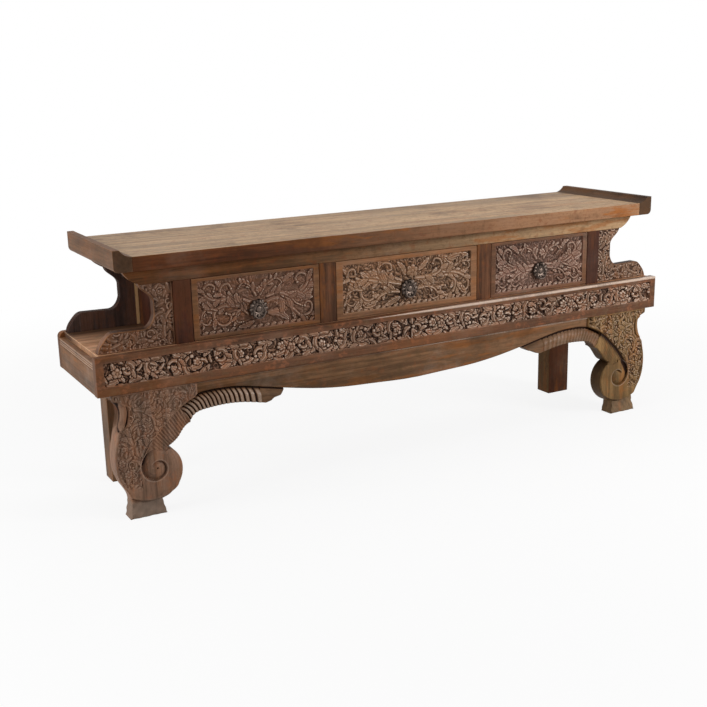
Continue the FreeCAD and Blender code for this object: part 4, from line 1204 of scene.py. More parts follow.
DRAWER_LEAVES = {
    "left": (
        ((108, 22), (132, 32), (150, 60)), ((116, 14), (138, 20), (152, 34)),
        ((92, 16), (124, 14), (152, 12)), ((30, -14), (56, -18), (84, -38)),
        ((-118, 40), (-136, 34), (-152, 42)), ((70, 60), (84, 72), (102, 78)),
        ((-14, -30), (-30, -38), (-54, -40)),
    ),
    "middle": (
        ((100, 78), (124, 64), (152, 36)), ((-66, 40), (-96, 50), (-130, 56)),
        ((-90, 32), (-120, 40), (-150, 58)), ((34, 48), (50, 62), (66, 78)),
        ((-10, 40), (-20, 60), (-36, 76)), ((150, -4), (170, -16), (190, -38)),
        ((-120, -22), (-150, -24), (-172, -40)), ((130, 68), (160, 72), (196, 74)),
        ((-30, -22), (-50, -30), (-76, -40)),
    ),
    "right": (
        ((70, 18), (100, 34), (108, 60)), ((96, 20), (126, 22), (152, 34)),
        ((124, 30), (140, 44), (150, 66)), ((104, -2), (128, 2), (152, 0)),
        ((76, 58), (88, 72), (104, 78)), ((-70, 18), (-98, 34), (-104, 60)),
        ((-96, 20), (-126, 22), (-152, 32)), ((-124, 32), (-140, 44), (-150, 64)),
        ((-104, 0), (-130, 4), (-152, 0)), ((-76, 58), (-90, 72), (-108, 78)),
    ),
}
# The flower over each pull: its place from the pull's middle, and its radius.
FLEURONS = {"left": ((4, 50), 10), "middle": ((12, 47), 19), "right": ((8, 54), 12)}
# How far the carving runs out over the plain edges of each drawer front, in millimetres.
CARVING_SPREAD = {"left": 8, "middle": 4, "right": 8}


def drawer_scrolls(relief, word, centre, bottom, draw):
    """The leaf scrolls that run out from a pull to both ends of a drawer front."""
    centre = np.asarray(centre, float)

    def outward(spot):
        away = spot - centre
        return math.atan2(away[1], away[0] * 0.7)

    wider = 1 + CARVING_SPREAD[word] / 160
    relief.carpet(draw, 10.5, outward, 0.04, 0.25)
    for x in np.arange(relief.x[0] + 8, relief.x[-1], 19):
        relief.plume(winding((x, bottom + 1), draw.uniform(0.5, 1.0), 17, -0.6), 5.2, 2)
    for points in DRAWER_LEAVES[word]:
        line = through(np.multiply(points, wider) + centre)
        relief.plume(line, len(line) * 0.2, 4, ridges=4)
    for points in DRAWER_SCROLLS[word]:
        line = through(np.multiply(points, wider) + centre)
        start = min(max(0.031 * len(line), 3.0), 4.8)
        scroll(relief, line, start, start * 0.56, draw, 6, leaf=6.4)
    spot, radius = FLEURONS[word]
    relief.flower(centre + spot, radius, 6, 0.3)
    relief.press(centre, 27, 2.2)


class TABLE_OT_drawer_fronts(bpy.types.Operator):
    """Carve the leaf scrolls into the three drawer fronts"""

    bl_idname = "table.drawer_fronts"
    bl_label = "Carved drawer fronts"

    def execute(self, context):
        carving = context.scene.table_carving
        for number, word in enumerate(DRAWERS):
            node = "drawer_front_" + word
            low, high = field_mm(node)
            depth = low[1] - box_mm(node)[0][1]
            spread = np.array([1, 0, 1]) * CARVING_SPREAD[word]
            low, high = low - spread, high + spread
            relief = Relief(low[[0, 2]], high[[0, 2]], carving.panel_step / MM, depth)
            draw = np.random.default_rng(SEEDS["drawers"] + number)
            plate_low, plate_high = box_mm("pull_plate_" + word)
            centre = ((low[0] + high[0]) / 2, plate_low[2] + (plate_high[0] - plate_low[0]) / 2)
            drawer_scrolls(relief, word, centre, low[2], draw)
            piece = carved_board(node + "_carved", node, relief, low, high, carving.panel_round / MM)
            settle(piece, "carved_drawer_" + word, "drawer_" + word, node, 1.3 + number)
        return {"FINISHED"}


# The leg's line and scroll, as shares of its width from the inner side and of its height.
LEG_LINE_SHARES = ((0, 0.892), (0.228, 0.816), (0.412, 0.708), (0.548, 0.611), (0.649, 0.512))
VOLUTE_CENTRE_SHARE = (0.535, 0.3765)
VOLUTE_RADIUS_SHARE = 0.271
VOLUTE_SHRINK_SHARE = 0.76
# The hollow in the leg's outer side: its middle and half its height, as shares of the leg's height.
HOLLOW_MIDDLE_SHARE = 0.825
HOLLOW_HALF_SHARE = 0.155
# Depths of the grooves along the leg's line and round its volute, and the foot's top, in millimetres.
LINE_DEPTH = 8.5
TURN_DEPTH = 9.5
FOOT_TOP = 41
# Flutes on the band that runs along the leg's line.
LEG_FLUTES = 28
# The leg's post behind the frieze: its sides as shares of the leg's width, its front in millimetres.
POST_SHARES = (0.45, 0.868)
POST_FRONT = -151.0
# What sets the two legs apart, by side. The widths and depths are in millimetres.
# The keys that end in dark are shares of painted shade: in the line's groove, on the band, in the eye
# and on the right leg's inner walls.
LEG_CUTS = {
    -1: {"line_share": 0.3, "line_width": 5.0, "line_dark": 0.6, "band_sunk": 2.2, "band_dark": 0.13,
         "flute_lean": 0.16, "eye_radius": 2.8, "eye_sunk": 5.0, "eye_dark": 1.2, "edge_sunk": 9.0,
         "inner_dark": 0},
    1: {"line_share": 0.85, "line_width": 13.5, "line_dark": 1.0, "band_sunk": 5.0, "band_dark": 0.05,
        "flute_lean": 0.26, "eye_radius": 6.0, "eye_sunk": -3.0, "eye_dark": 0, "edge_sunk": 1.5,
        "inner_dark": 1.15},
}


class LegLines:
    """The lines of a front leg on the right side, in millimetres."""

    def __init__(self):
        low, high = box_mm("front_leg_right")
        self.low = low[[0, 2]]
        self.size = np.array([high[0] - low[0], box_mm("base_front_board")[0][2]])
        self.front = low[1]
        self.back = high[1]
        self.eye = self.on(VOLUTE_CENTRE_SHARE)
        line = [self.on(share) for share in LEG_LINE_SHARES]
        self.line = through(line + [self.scroll(2.7)])
        self.spiral = through([self.scroll(quarter) for quarter in np.arange(2.0, 7.1, 0.2)], 0.8)

    def on(self, share):
        return self.low + self.size * share

    def beside_hollow(self, points):
        """How high points stand beside the hollow, from -1 to 1, and how wide it is there."""
        height = (points[:, 1] / self.size[1] - HOLLOW_MIDDLE_SHARE) / HOLLOW_HALF_SHARE
        return height, smooth(1, 0.4, np.abs(height))

    def scroll(self, quarter):
        radius = self.size[1] * VOLUTE_RADIUS_SHARE * VOLUTE_SHRINK_SHARE**quarter
        angle = -math.pi / 2 * (1 + quarter)
        return self.eye + radius * np.array([math.cos(angle), math.sin(angle)])


def leg_leaves(relief, lines, draw):
    """Leaf work for the leg's panel: stalks up its outer side, flowers and small leaves."""
    def at(across, up):
        return lines.low + lines.size * (across, up)

    relief.carpet(draw, 12, lambda spot: 1.9 + draw.normal(0, 0.5), 0.2, 0.45)
    for spot, heading, reach, turn in (
            ((0.88, 0.3), 1.5, 130, -3.4), ((0.7, 0.5), 1.9, 110, 3.2), ((0.74, 0.86), 3.4, 105, 2.6),
            ((0.8, 0.6), 1.2, 90, 3.6), ((0.5, 0.78), 2.6, 70, -3.0)):
        scroll(relief, winding(at(*spot), heading, reach, turn), 4.4, 2.6, draw, 5)
    for across, up, radius in ((0.93, 0.46, 10), (0.87, 0.37, 11), (0.9, 0.57, 8), (0.45, 0.9, 8)):
        relief.flower(at(across, up), radius, 6, draw.uniform(0, 1))


class TABLE_OT_front_legs(bpy.types.Operator):
    """Carve the scroll legs: leaf panel, fluted band, volute and foot"""

    bl_idname = "table.front_legs"
    bl_label = "Carved front legs"

    def execute(self, context):
        carving = context.scene.table_carving
        lines = LegLines()
        node = "front_leg_right"
        loop = worn_foot(resampled(outline_of(node, lines.size[1]), 2.0))
        low, high = box_mm(node)
        left, right = (lines.on((share, 0))[0] for share in POST_SHARES)
        post = (np.array([left, POST_FRONT, lines.size[1] - 0.5]), np.array([right, high[1], high[2]]))
        for number, (word, side) in enumerate(SIDES):
            draw = np.random.default_rng(SEEDS["legs"] + number)
            relief = Relief(lines.low, lines.low + lines.size, carving.leg_step / MM, carving.leg_relief / MM)
            leg_leaves(relief, lines, draw)

            def face(points, distance):
                return leg_face(lines, relief, points, distance, side)

            piece = slab("front_leg_%s_carved" % word, loop, carving.leg_step / MM, lines.front, lines.back,
                         face, hollow=lambda ring, level: leg_hollow(lines, ring, level, side), rows=24,
                         mirror=side, extra=post)
            settle(piece, "carved_leg_" + word, "table_frame", "front_leg_" + word, 2.2 + number)
        return {"FINISHED"}


def worn_foot(loop):
    """The leg's outline with its foot's edges worn and chipped inwards."""
    low = smooth(42, 30, loop[:, 1]) * smooth(0.5, 3.0, loop[:, 1])
    middle = loop[loop[:, 1] < 40, 0].mean()
    wear = 0.8 + 0.8 * np.sin(loop[:, 1] * 0.3 + np.sign(middle - loop[:, 0]))
    worn = loop.copy()
    worn[:, 0] += np.sign(middle - loop[:, 0]) * wear * low * (np.abs(loop[:, 0] - middle) > 20)
    return worn


def leg_face(lines, relief, points, distance, side):
    """Depth of the leg's front below its plane, with the carving attributes."""
    cuts = LEG_CUTS[side]
    gap, hand, along = nearest_on(points, lines.line)
    wound, inward, turned = nearest_on(points, lines.spiral)
    eye = np.hypot(*(points - lines.eye).T)
    foot = FOOT_TOP + 10 * ((points[:, 0] - lines.eye[0] - 16) / 45) ** 2
    outer = (points[:, 0] > lines.eye[0] + 42) & (points[:, 1] > 55)
    above = ((hand > 0) & (along < 0.985)) | outer
    beyond = (inward > 0) & (turned < 0.25)
    band = np.where(beyond | (turned < 0.001), 1.0, 0.0) * np.where(above, 0.0, smooth(0, 0.8, gap))
    band = band * (along < 0.985) * smooth(42, 46, eye) * (points[:, 1] > lines.eye[1])
    panel = smooth(1.6, 4.0, np.where(above, gap, 0)) * smooth(3.5, 6.5, distance)
    height, tall = lines.beside_hollow(points)
    scoop = smooth(30 * tall + 0.01, 6 * tall, distance) * tall * (points[:, 0] > lines.on((0.7, 0))[0])
    curled = dome(distance - 9.5 - 3 * height, 8 * tall + 0.1) * (np.abs(height) < 0.86)
    panel = panel * smooth(44, 49, eye) * smooth(70, 88, points[:, 1]) * smooth(0.3, 0.02, scoop)
    carved, crest = relief.read(*points.T)
    depth = panel * (relief.depth - carved)

    step = cuts["line_share"] + (1 - cuts["line_share"]) * smooth(0.8, 1.0, along)
    width = cuts["line_width"] * np.where(hand > 0, 0.2, 1)
    line_cut = step * np.exp(-((gap / width) ** 1.5))
    width = (11 - 5 * turned) * np.where(inward > 0, 0.2, 1)
    ends = smooth(0, 0.14, turned) * smooth(1.0, 0.93, turned)
    turn_cut = (1 - 0.35 * turned) * ends * np.exp(-((wound / width) ** 1.7))
    groove = np.maximum(LINE_DEPTH * line_cut, TURN_DEPTH * turn_cut)
    bead = 1.8 * bell(wound, 4.0, 1.5) * (inward > 0) * ends

    flute = 0.5 - 0.5 * np.cos(along * 2 * math.pi * LEG_FLUTES - gap * cuts["flute_lean"])
    combed = smooth(0.95, 0.6, along) if side < 0 else 0.3
    depth = depth + band * (cuts["band_sunk"] + (1 - flute) * 2.2 * combed)
    depth = np.maximum(depth, groove) - bead
    below = smooth(0.6, -2.0, points[:, 1] - foot)
    crease = 3.5 * bell(points[:, 1], foot, 2.0)
    lumps = np.sin(points[:, 0] * 0.19 + 1) * np.sin(points[:, 1] * 0.23 + points[:, 0] * 0.07)
    depth = depth + below * (3.5 + 7.0 * smooth(0, 42, points[:, 1]) + 1.3 * lumps) + crease
    dimple = smooth(cuts["eye_radius"], cuts["eye_radius"] * 0.5, eye)
    depth = depth + dimple * cuts["eye_sunk"]
    away = points - lines.eye
    broad = smooth(112, 90, eye) * smooth(76, 52, away[:, 1]) * smooth(76, 52, away[:, 0])
    round_edge = cuts["edge_sunk"] * broad * smooth(-4, 8, points[:, 1] - foot)
    depth = depth + edge_drop(distance, 3.0) + round_edge * np.clip(1 - distance / 26, 0, 1) ** 2
    merge = smooth(15, 0, points[:, 0] - lines.low[0]) * smooth(225, 245, points[:, 1])
    depth = depth + 12 * merge
    depth = np.maximum(depth + 16 * scoop - 9.5 * curled * smooth(0.2, 0.6, scoop), 0.02)

    # Painted shade in the share: the grooves along the line and round the volute, the scoop beside the curled
    # leaf, the gaps between the band's flutes and the eye. The crest adds a painted highlight on the bead and
    # painted shade in the crease and on the band.
    share = 1 - panel * (1 - carved / relief.depth) - 1.8 * cuts["line_dark"] * line_cut
    share = share - 1.35 * turn_cut - 1.6 * smooth(0.05, 0.5, scoop) * (1 - curled)
    share = share - 0.9 * band * (1 - flute) * combed - cuts["eye_dark"] * dimple
    crest = panel * crest + 0.16 * (bead - crease / 3) - cuts["band_dark"] * band
    return depth, np.clip(share, -1, 1), crest


def leg_hollow(lines, ring, level, side):
    """The scooped hollow in the leg's outer side with a curled leaf in it, and the painted shade on the
    sides: in the hollow, and on the right leg's inner side.
    """
    outer = smooth(0.78, 0.86, (ring[:, 0] - lines.low[0]) / lines.size[0])
    height, tall = lines.beside_hollow(ring)
    scoop = outer * tall * math.sin(math.pi * level) ** 0.5
    middle = 0.5 + 0.16 * np.sin(height * 3.4)
    wide = 0.2 * np.clip(1 - height**2, 0, 1)
    leaf = np.clip(1 - ((level - middle) / np.maximum(wide, 0.02)) ** 2, 0, 1)
    leaf = leaf * smooth(0.96, 0.8, np.abs(height))
    vein = 0.75 + 0.25 * np.cos((level - middle) * 40)
    sunk = 15 * scoop - 10 * outer * leaf**0.6 * vein
    inner = smooth(lines.eye[0] + 25, lines.eye[0] - 15, ring[:, 0]) * (ring[:, 1] > 45)
    return np.maximum(sunk, 0), scoop * (1.3 - 1.5 * leaf**0.5) + inner * LEG_CUTS[side]["inner_dark"]


class TABLE_OT_wings(bpy.types.Operator):
    """Carve the fluted wings below the apron"""

    bl_idname = "table.wings"
    bl_label = "Fluted wings"

    def execute(self, context):
        carving = context.scene.table_carving
        low, high = box_mm("apron_wing_right")
        loop = resampled(outline_of("apron_wing_right"), 1.6)
        edge = apron_edge()
        for number, (word, side) in enumerate(SIDES):
            def face(points, distance):
                return wing_face(points, distance, low, high, edge, carving.wing_flutes, side)

            piece = slab("apron_wing_%s_carved" % word, loop, 0.9, low[1], high[1], face, mirror=side)
            settle(piece, "carved_wing", "table_frame", "apron_wing_" + word, 4.1 + number)
        return {"FINISHED"}


# What sets the two wings apart, by side: their lobes' depth in millimetres, and the shares of painted shade
# between the lobes and of painted highlight on them.
WING_LOBES = {-1: (4.0, 2.2, 0.8), 1: (1.4, 0.6, 0.3)}


def wing_face(points, distance, low, high, edge, flutes, side):
    """A bulging face with slanted lobes, tucked back under the apron."""
    line = np.interp(points[:, 0], edge[:, 0], edge[:, 1])
    drop = np.clip(line - points[:, 1], 0, 80)
    tuck = 14 * (1 - smooth(0, 20, drop) ** 0.7)
    plain = low[0] + 71
    near = (points[:, 0] - plain) / (high[0] - plain)
    lobed = smooth(-0.01, 0.01, near)
    steep = np.clip(near, 0, 1) ** 2
    bend = (11 + 15 * steep) * (1 - np.exp(-drop / 20)) + drop * 0.45 * steep
    phase = np.maximum((points[:, 0] + bend - plain) / (high[0] - plain), 0) ** 1.22 * flutes
    saw = phase % 1
    lobe = 0.7 * smooth(0, 0.24, np.minimum(saw, 1 - saw)) + 0.3 * np.sin(math.pi * saw)
    deep, dark, light = WING_LOBES[side]
    depth = tuck + lobed * deep * (1 - lobe) + (1 - lobed) * 2.4 + edge_drop(distance, 2.2)
    # Painted shade between the lobes and a painted shadow under the apron's edge; the crest is a painted
    # highlight on the lobes.
    share = 1 - dark * lobed * (1 - smooth(0.2, 0.85, lobe))
    share = share - 1.6 * (1 - smooth(1, 9, drop))
    crest = 0.42 * light * lobed * smooth(0.8, 1.0, lobe) * smooth(2, 12, drop)
    return depth, np.clip(share, -1, 1), crest


def apron_edge():
    """The lower line of the apron on the right side, as points sorted along X."""
    loop = outline_of("apron_board")
    top = box_mm("base_front_board")[0][2]
    edge = loop[(loop[:, 1] < top - 5) & (loop[:, 0] >= 0)]
    edge = edge[np.argsort(edge[:, 0])]
    leg = np.array([LegLines().on(share) for share in LEG_LINE_SHARES])
    return np.vstack([edge, through(leg)[2:]])


class TABLE_OT_apron(bpy.types.Operator):
    """Shape the apron with its bead along the top and its rounded lower edge"""

    bl_idname = "table.apron"
    bl_label = "Apron"

    def execute(self, context):
        low, high = box_mm("apron_board")
        top = box_mm("base_front_board")[0][2]
        edge = apron_edge()
        edge = edge[edge[:, 0] <= high[0] + 0.01]
        edge = np.vstack([edge[::-1] * (-1, 1), edge])
        xs = np.linspace(low[0], high[0], 361)
        bottom = np.interp(xs, edge[:, 0], edge[:, 1])
        near_top = np.array([0, 1, 2.2, 3.6, 5, 6.4, 8, 10, 13])
        share = np.linspace(0, 1, 12)
        near_edge = np.array([4, 2.6, 1.4, 0.5, 0])
        rows = []
        for start, finish in zip(np.full(len(xs), top), bottom):
            middle = start - near_top[-1] - share[1:-1] * (start - near_top[-1] - finish - near_edge[0])
            rows.append(np.concatenate([start - near_top, middle, finish + near_edge]))
        z = np.array(rows).T
        x = np.broadcast_to(xs, z.shape)
        fall = top - z
        bead = 2.4 * dome(fall - 5.5, 3.8)
        groove = 1.3 * bell(fall, 10.5, 1.4)
        y = low[1] - bead + groove + edge_drop(z - bottom, 3.5)
        y = y + 0.5 * np.sin(x * 0.021 + z * 0.03) * np.sin(x * 0.009) * smooth(12, 26, fall)
        # Painted highlight on the bead, brighter towards the right, painted shade in the groove below it and
        # a painted highlight along the lower edge.
        lit = 0.5 * bell(fall, 7.5, 2.6) * (0.35 + 0.65 * smooth(-250, 500, x))
        lit = lit - 0.2 * bell(fall, 11.5, 1.6) + 0.1 * bell(z - bottom, 3, 3)
        x, y, z, lit = (values[::-1] for values in (x, y, z, lit))
        piece = closed_front("apron_board_shaped", x, y, z, high[1], np.ones(x.shape), lit, 50)
        settle(piece, "apron_board", "table_frame", "apron_board", 6.3)
        return {"FINISHED"}


class TABLE_OT_brackets(bpy.types.Operator):
    """Carve the leaf work into the front brackets"""

    bl_idname = "table.brackets"
    bl_label = "Carved brackets"

    def execute(self, context):
        carving = context.scene.table_carving
        low, high = box_mm("front_bracket_right")
        loop = resampled(outline_of("front_bracket_right"), 1.4)
        for number, (word, side) in enumerate(SIDES):
            draw = np.random.default_rng(SEEDS["brackets"] + number)
            relief = Relief(low[[0, 2]], high[[0, 2]], carving.panel_step / MM * 1.1,
                            carving.bracket_relief / MM)
            start = low[[0, 2]]
            relief.carpet(draw, 13, lambda spot: draw.uniform(0, 6.3), 0.25, 0.4)
            for spot, heading, reach, turn in (
                    ((165, 12), 2.9, 120, -3.4), ((26, 26), 1.5, 120, 2.4), ((40, 116), 0.7, 66, -3.4),
                    ((60, 16), 0.2, 60, 2.8)):
                scroll(relief, winding(start + spot, heading, reach, turn), 3.8, 2.2, draw, 5)
            relief.flower(start + (119, 17), 9, 6, 0.2)
            relief.soften()

            def face(points, distance):
                return bracket_face(relief, points, distance)

            piece = slab("front_bracket_%s_carved" % word, loop, 1.1, low[1], high[1], face, mirror=side,
                         side_share=-0.15)
            settle(piece, "carved_bracket_" + word, "table_frame", "front_bracket_" + word,
                   5.2 + number)
        return {"FINISHED"}


def bracket_face(relief, points, distance):
    """Leaf work almost up to the bracket's edge."""
    inside = smooth(1.8, 3.6, distance)
    carved, crest = relief.read(*points.T, 3.5)
    depth = inside * (relief.depth - carved) + edge_drop(distance, 1.8)
    return depth, np.where(inside > 0.5, carved / relief.depth, 2), inside * crest


class PieceMaker(NodeMaker):
    """Builds a Geometry Nodes tree."""

    def __init__(self, name, inputs):
        super().__init__(bpy.data.node_groups.new(name, "GeometryNodeTree"))
        self.tree.interface.new_socket("Geometry", in_out="OUTPUT", socket_type="NodeSocketGeometry")
        self.ids = {}
        for label, (kind, default) in inputs.items():
            socket = self.tree.interface.new_socket(label, in_out="INPUT", socket_type=kind)
            socket.default_value = default
            self.ids[label] = socket.identifier
        self.given = self.node("NodeGroupInput").outputs

    def finish(self, geometry, material):
        """Realizes the instances, sets the material and closes the tree."""
        real = self.node("GeometryNodeRealizeInstances", None, {0: geometry})
        clad = self.node("GeometryNodeSetMaterial", None, {"Geometry": real.outputs[0], "Material": material})
        self.node("NodeGroupOutput", None, {0: clad.outputs[0]})
        return self.tree


def rosette_tree(material):
    """Petals set in a ring, as on the back plate of a pull."""
    maker = PieceMaker("pull_rosette", {
        "Petals": ("NodeSocketInt", 12), "Ring": ("NodeSocketFloat", 0.0195),
        "Petal": ("NodeSocketFloat", 0.0074)})
    given = maker.given
    ring = maker.node("GeometryNodeMeshCircle", None, {"Vertices": given["Petals"], "Radius": given["Ring"]})
    ball = maker.node("GeometryNodeMeshUVSphere", None, {
        "Segments": 20, "Rings": 12, "Radius": given["Petal"]})
    domed = maker.node("GeometryNodeTransform", None, {
        "Geometry": ball.outputs[0], "Scale": (1.0, 0.66, 0.42)})
    place = maker.node("GeometryNodeInputPosition")
    turned = maker.node("FunctionNodeAlignRotationToVector", {"axis": "X"}, {"Vector": place.outputs[0]})
    petals = maker.node("GeometryNodeInstanceOnPoints", None, {
        "Points": ring.outputs[0], "Instance": domed.outputs[0], "Rotation": turned.outputs[0]})
    return maker, maker.finish(petals.outputs[0], material)


def turned(profile, steps, centre, axis, ring=False):
    """A form turned about an axis from radius and level pairs, its ends closed or joined to a ring."""
    angle = np.linspace(0, 2 * math.pi, steps, endpoint=False)
    radius, level = np.array(profile, float).T[:, :, None]
    points = np.empty((len(profile), steps, 3))
    first, second = (index for index in range(3) if index != axis)
    points[:, :, first] = radius * np.cos(angle)
    points[:, :, second] = radius * np.sin(angle)
    points[:, :, axis] = level
    index = np.arange(len(profile) * steps).reshape(len(profile), steps)
    faces = quads(np.vstack([index, index[:1]]) if ring else index)
    if not ring:
        faces += [index[0][::-1].tolist(), index[-1].tolist()]
    return points.reshape(-1, 3) + np.asarray(centre, float), faces


def joined(parts):
    """Several sets of vertices and faces as one."""
    points, faces, base = [], [], 0
    for part_points, part_faces in parts:
        points.append(np.asarray(part_points))
        faces += [[base + index for index in face] for face in part_faces]
        base += len(part_points)
    return np.vstack(points), faces


def outwards(piece):
    """Turns every shell of a piece the right way round."""
    work = bmesh.new()
    work.from_mesh(piece.data)
    bmesh.ops.recalc_face_normals(work, faces=work.faces)
    work.to_mesh(piece.data)
    work.free()
    return piece


class TABLE_OT_pulls(bpy.types.Operator):
    """Model the rosette plates and the drop rings"""

    bl_idname = "table.pulls"
    bl_label = "Ring pulls"

    def execute(self, context):
        iron = finish_named("aged_iron")
        maker, tree = rosette_tree(iron)
        holder = placed("rosette_holder", bpy.data.meshes.new("rosette_holder"))
        modifier = holder.modifiers.new("rosette", "NODES")
        modifier.node_group = tree
        modifier[maker.ids["Petals"]] = 12
        petals = evaluated(holder).data
        petal_points = np.array([vertex.co for vertex in petals.vertices]) / MM
        petal_faces = [list(polygon.vertices) for polygon in petals.polygons]
        bpy.data.objects.remove(holder)
        for word in DRAWERS:
            self.plate(word, petal_points, petal_faces)
            self.ring(word)
        return {"FINISHED"}

    def plate(self, word, petal_points, petal_faces):
        node = "pull_plate_" + word
        low, high = box_mm(node)
        radius = (high[0] - low[0]) / 2
        centre = np.array([(low[0] + high[0]) / 2, 0, low[2] + radius])
        face = box_mm("drawer_front_" + word)[0][1] - 3
        centre[1] = face
        petals = np.stack([petal_points[:, 0], -petal_points[:, 2] + 1.4, petal_points[:, 1]], 1) + centre
        disc = turned([
            (0.1, 9), (radius - 6, 9), (radius - 3.5, 3.0), (radius - 4.5, 1.6), (radius * 0.62, 0.8),
            (radius * 0.55, -0.2), (radius * 0.46, -0.4), (radius * 0.42, 0.4), (9.4, 0.6), (8.6, -1.8),
            (6.6, -3.2), (3.2, -3.9), (0.1, -4.0)], 48, centre, 1)
        eye = np.array([centre[0], low[1] + 6.4, centre[2] + 21])
        lug = turned([(4.1, -2.2), (5.9, -2.2), (6.4, -1.5), (6.4, 1.5), (5.9, 2.2), (4.1, 2.2), (3.9, 1.6),
                      (3.9, -1.6)], 32, eye, 0, ring=True)
        stem = turned([(0.1, 0), (3.6, 0.1), (3.2, 1.6), (3.4, 6.4), (0.1, 6.5)], 20,
                      (eye[0], eye[1] + 4.6, eye[2]), 1)
        points, faces = joined([(petals, petal_faces), disc, lug, stem])
        piece = outwards(add_mesh(node + "_rosette", points, faces, sharp=45))
        settle(piece, "aged_iron", "drawer_" + word, node)

    def ring(self, word):
        node = "pull_ring_" + word
        low, high = box_mm(node)
        wire = (high[1] - low[1]) / 2
        bow = (high[0] - low[0]) / 2 - wire
        crown = bow * 5 / 16
        crown_z, bow_z = high[2] - wire - crown, low[2] + wire + bow
        lean = math.asin((bow - crown) / (crown_z - bow_z))
        x = (low[0] + high[0]) / 2
        y = (low[1] + high[1]) / 2
        top = np.linspace(lean, math.pi - lean, 17)
        bottom = np.linspace(math.pi - lean, 2 * math.pi + lean, 61)
        path = np.vstack([
            np.stack([x + crown * np.cos(top), crown_z + crown * np.sin(top)], 1),
            np.stack([x + bow * np.cos(bottom), bow_z + bow * np.sin(bottom)], 1)])
        left = through(path[[16, 17]], 2.0)[1:-1]
        right = through(path[[-1, 0]], 2.0)[1:-1]
        path = np.vstack([path[:17], left, path[17:], right])
        run = np.roll(path, -1, 0) - np.roll(path, 1, 0)
        run = run / np.linalg.norm(run, axis=1)[:, None]
        level = (path[:, 1] - path[:, 1].min()) / np.ptp(path[:, 1])
        radius = wire * (1.0 - 0.12 * level)
        angle = np.linspace(0, 2 * math.pi, 18, endpoint=False)
        points = np.empty((len(path), len(angle), 3))
        points[:, :, 0] = path[:, :1] + radius[:, None] * np.cos(angle) * run[:, 1:]
        points[:, :, 2] = path[:, 1:] - radius[:, None] * np.cos(angle) * run[:, :1]
        points[:, :, 1] = y + radius[:, None] * np.sin(angle)
        index = np.arange(points.shape[0] * points.shape[1]).reshape(points.shape[:2])
        faces = quads(np.vstack([index, index[:1]]))
        piece = outwards(add_mesh(node + "_drop", points.reshape(-1, 3), faces))
        settle(piece, "aged_iron", "ring_" + word, node)


# Each lamp: its place, the spot it looks at and its size in metres, and its power setting.
LAMPS = {
    "key_light": ((1.9, -2.2, 1.35), (0.45, 0, 0.4), 0.8, "key_power"),
    "side_light": ((-3.2, -0.15, 1.3), (-0.8, 0, 0.4), 1.3, "side_power"),
    "top_light": ((0.0, 0.3, 3.0), (0, 0, 0.4), 2.6, "top_power"),
}
FLOOR_REACH = 30
WHITE = (1, 1, 1, 1)
BOUNCED = (0.4, 0.38, 0.36, 1)
SENSOR_WIDTH = 36


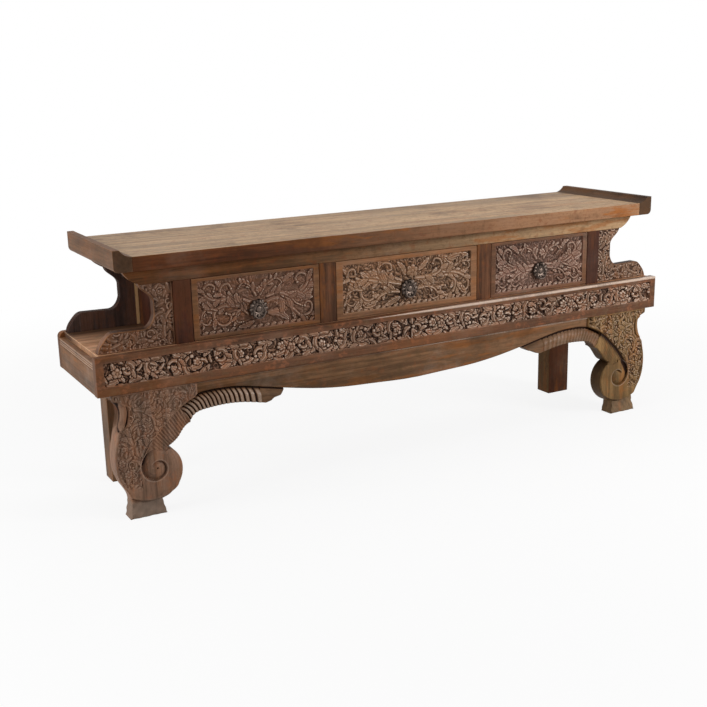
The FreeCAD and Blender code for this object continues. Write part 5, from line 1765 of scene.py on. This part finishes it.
class TABLE_OT_stage(bpy.types.Operator):
    """Set up the floor, the soft lights and the camera"""

    bl_idname = "table.stage"
    bl_label = "Stage"

    def execute(self, context):
        stage = context.scene.table_stage
        context.scene.view_settings.view_transform = "Standard"
        self.floor()
        self.sky(context.scene, stage.sky)
        for name, (place, target, size, power) in LAMPS.items():
            self.lamp(name, place, target, size, getattr(stage, power))
        self.camera(context.scene, stage)
        return {"FINISHED"}

    def floor(self):
        mesh = bpy.data.meshes.new("floor")
        corners = ((-1, -1), (1, -1), (1, 1), (-1, 1))
        mesh.from_pydata([(x * FLOOR_REACH, y * FLOOR_REACH, 0) for x, y in corners], [], [(0, 1, 2, 3)])
        finish = Finish("pale_floor")
        seen = finish.seen()
        tone = finish.noise(finish.place(), 3.0, 3.0)
        pale = finish.mix(tone, (0.86, 0.86, 0.86, 1), (0.9, 0.9, 0.9, 1))
        matt = finish.node("ShaderNodeBsdfDiffuse", None, {"Color": finish.mix(seen, BOUNCED, pale)})
        glow = finish.node("ShaderNodeEmission", None, {"Color": WHITE, "Strength": 1.0})
        away = finish.node("ShaderNodeVectorMath", {"operation": "LENGTH"}, {0: finish.place()})
        far = Number(finish, away.outputs["Value"]).between(1.0, 2.6)
        mixed = finish.node("ShaderNodeMixShader", None, {
            0: seen * (far * 0.12 + 0.88), 1: matt.outputs[0], 2: glow.outputs[0]})
        mesh.materials.append(finish.surface(mixed))
        floor = placed("floor", mesh)

    def sky(self, scene, strength):
        world = bpy.data.worlds.new("studio")
        world.use_nodes = True
        maker = NodeMaker(world.node_tree)
        lit = maker.node("ShaderNodeBackground", None, {"Color": WHITE, "Strength": strength})
        white = maker.node("ShaderNodeBackground", None, {"Color": WHITE})
        mixed = maker.node("ShaderNodeMixShader", None, {
            0: maker.seen(), 1: lit.outputs[0], 2: white.outputs[0]})
        maker.node("ShaderNodeOutputWorld", None, {"Surface": mixed.outputs[0]})
        scene.world = world

    def lamp(self, name, place, target, size, power):
        light = bpy.data.lights.new(name, "AREA")
        light.size = size
        light.energy = power
        lamp = placed(name, light)
        lamp.location = place
        aim = Vector(target) - Vector(place)
        lamp.rotation_euler = aim.to_track_quat("-Z", "Y").to_euler()

    def camera(self, scene, stage):
        data = bpy.data.cameras.new("photo_view")
        data.lens = stage.lens
        data.sensor_width = SENSOR_WIDTH
        data.sensor_fit = "HORIZONTAL"
        camera = placed("photo_view", data)
        back = Vector((
            math.sin(stage.azimuth) * math.cos(stage.elevation),
            -math.cos(stage.azimuth) * math.cos(stage.elevation),
            math.sin(stage.elevation)))
        level = Vector((math.cos(stage.azimuth), math.sin(stage.azimuth), 0))
        turn = Matrix.Rotation(stage.roll, 3, back)
        right = turn @ level
        up = back.cross(right)
        rotation = Matrix((right, up, back)).transposed().to_4x4()
        camera.matrix_world = Matrix.Translation(stage.place) @ rotation
        scene.camera = camera


OPERATORS = (
    TABLE_OT_boards, TABLE_OT_end_boards, TABLE_OT_frieze, TABLE_OT_drawer_fronts, TABLE_OT_front_legs,
    TABLE_OT_wings, TABLE_OT_apron, TABLE_OT_brackets, TABLE_OT_pulls, TABLE_OT_stage,
)


class TABLE_PT_panel(bpy.types.Panel):
    """Lists the table's pieces and their settings"""

    bl_label = "Altar table"
    bl_space_type = "VIEW_3D"
    bl_region_type = "UI"
    bl_category = "Table"

    def draw(self, context):
        for operator in OPERATORS:
            self.layout.operator(operator.bl_idname)
        for group in (context.scene.table_carving, context.scene.table_colours, context.scene.table_stage):
            for key in group.__annotations__:
                self.layout.prop(group, key)


CLASSES = (TableCarving, TableColours, TableStage) + OPERATORS + (TABLE_PT_panel,)


def register():
    for item in CLASSES:
        bpy.utils.register_class(item)
    bpy.types.Scene.table_carving = PointerProperty(type=TableCarving)
    bpy.types.Scene.table_colours = PointerProperty(type=TableColours)
    bpy.types.Scene.table_stage = PointerProperty(type=TableStage)


def unregister():
    del bpy.types.Scene.table_carving
    del bpy.types.Scene.table_colours
    del bpy.types.Scene.table_stage
    for item in reversed(CLASSES):
        bpy.utils.unregister_class(item)


def main():
    register()
    for operator in OPERATORS:
        category, name = operator.bl_idname.split(".")
        getattr(getattr(bpy.ops, category), name)()


if __name__ == "__main__":
    main()
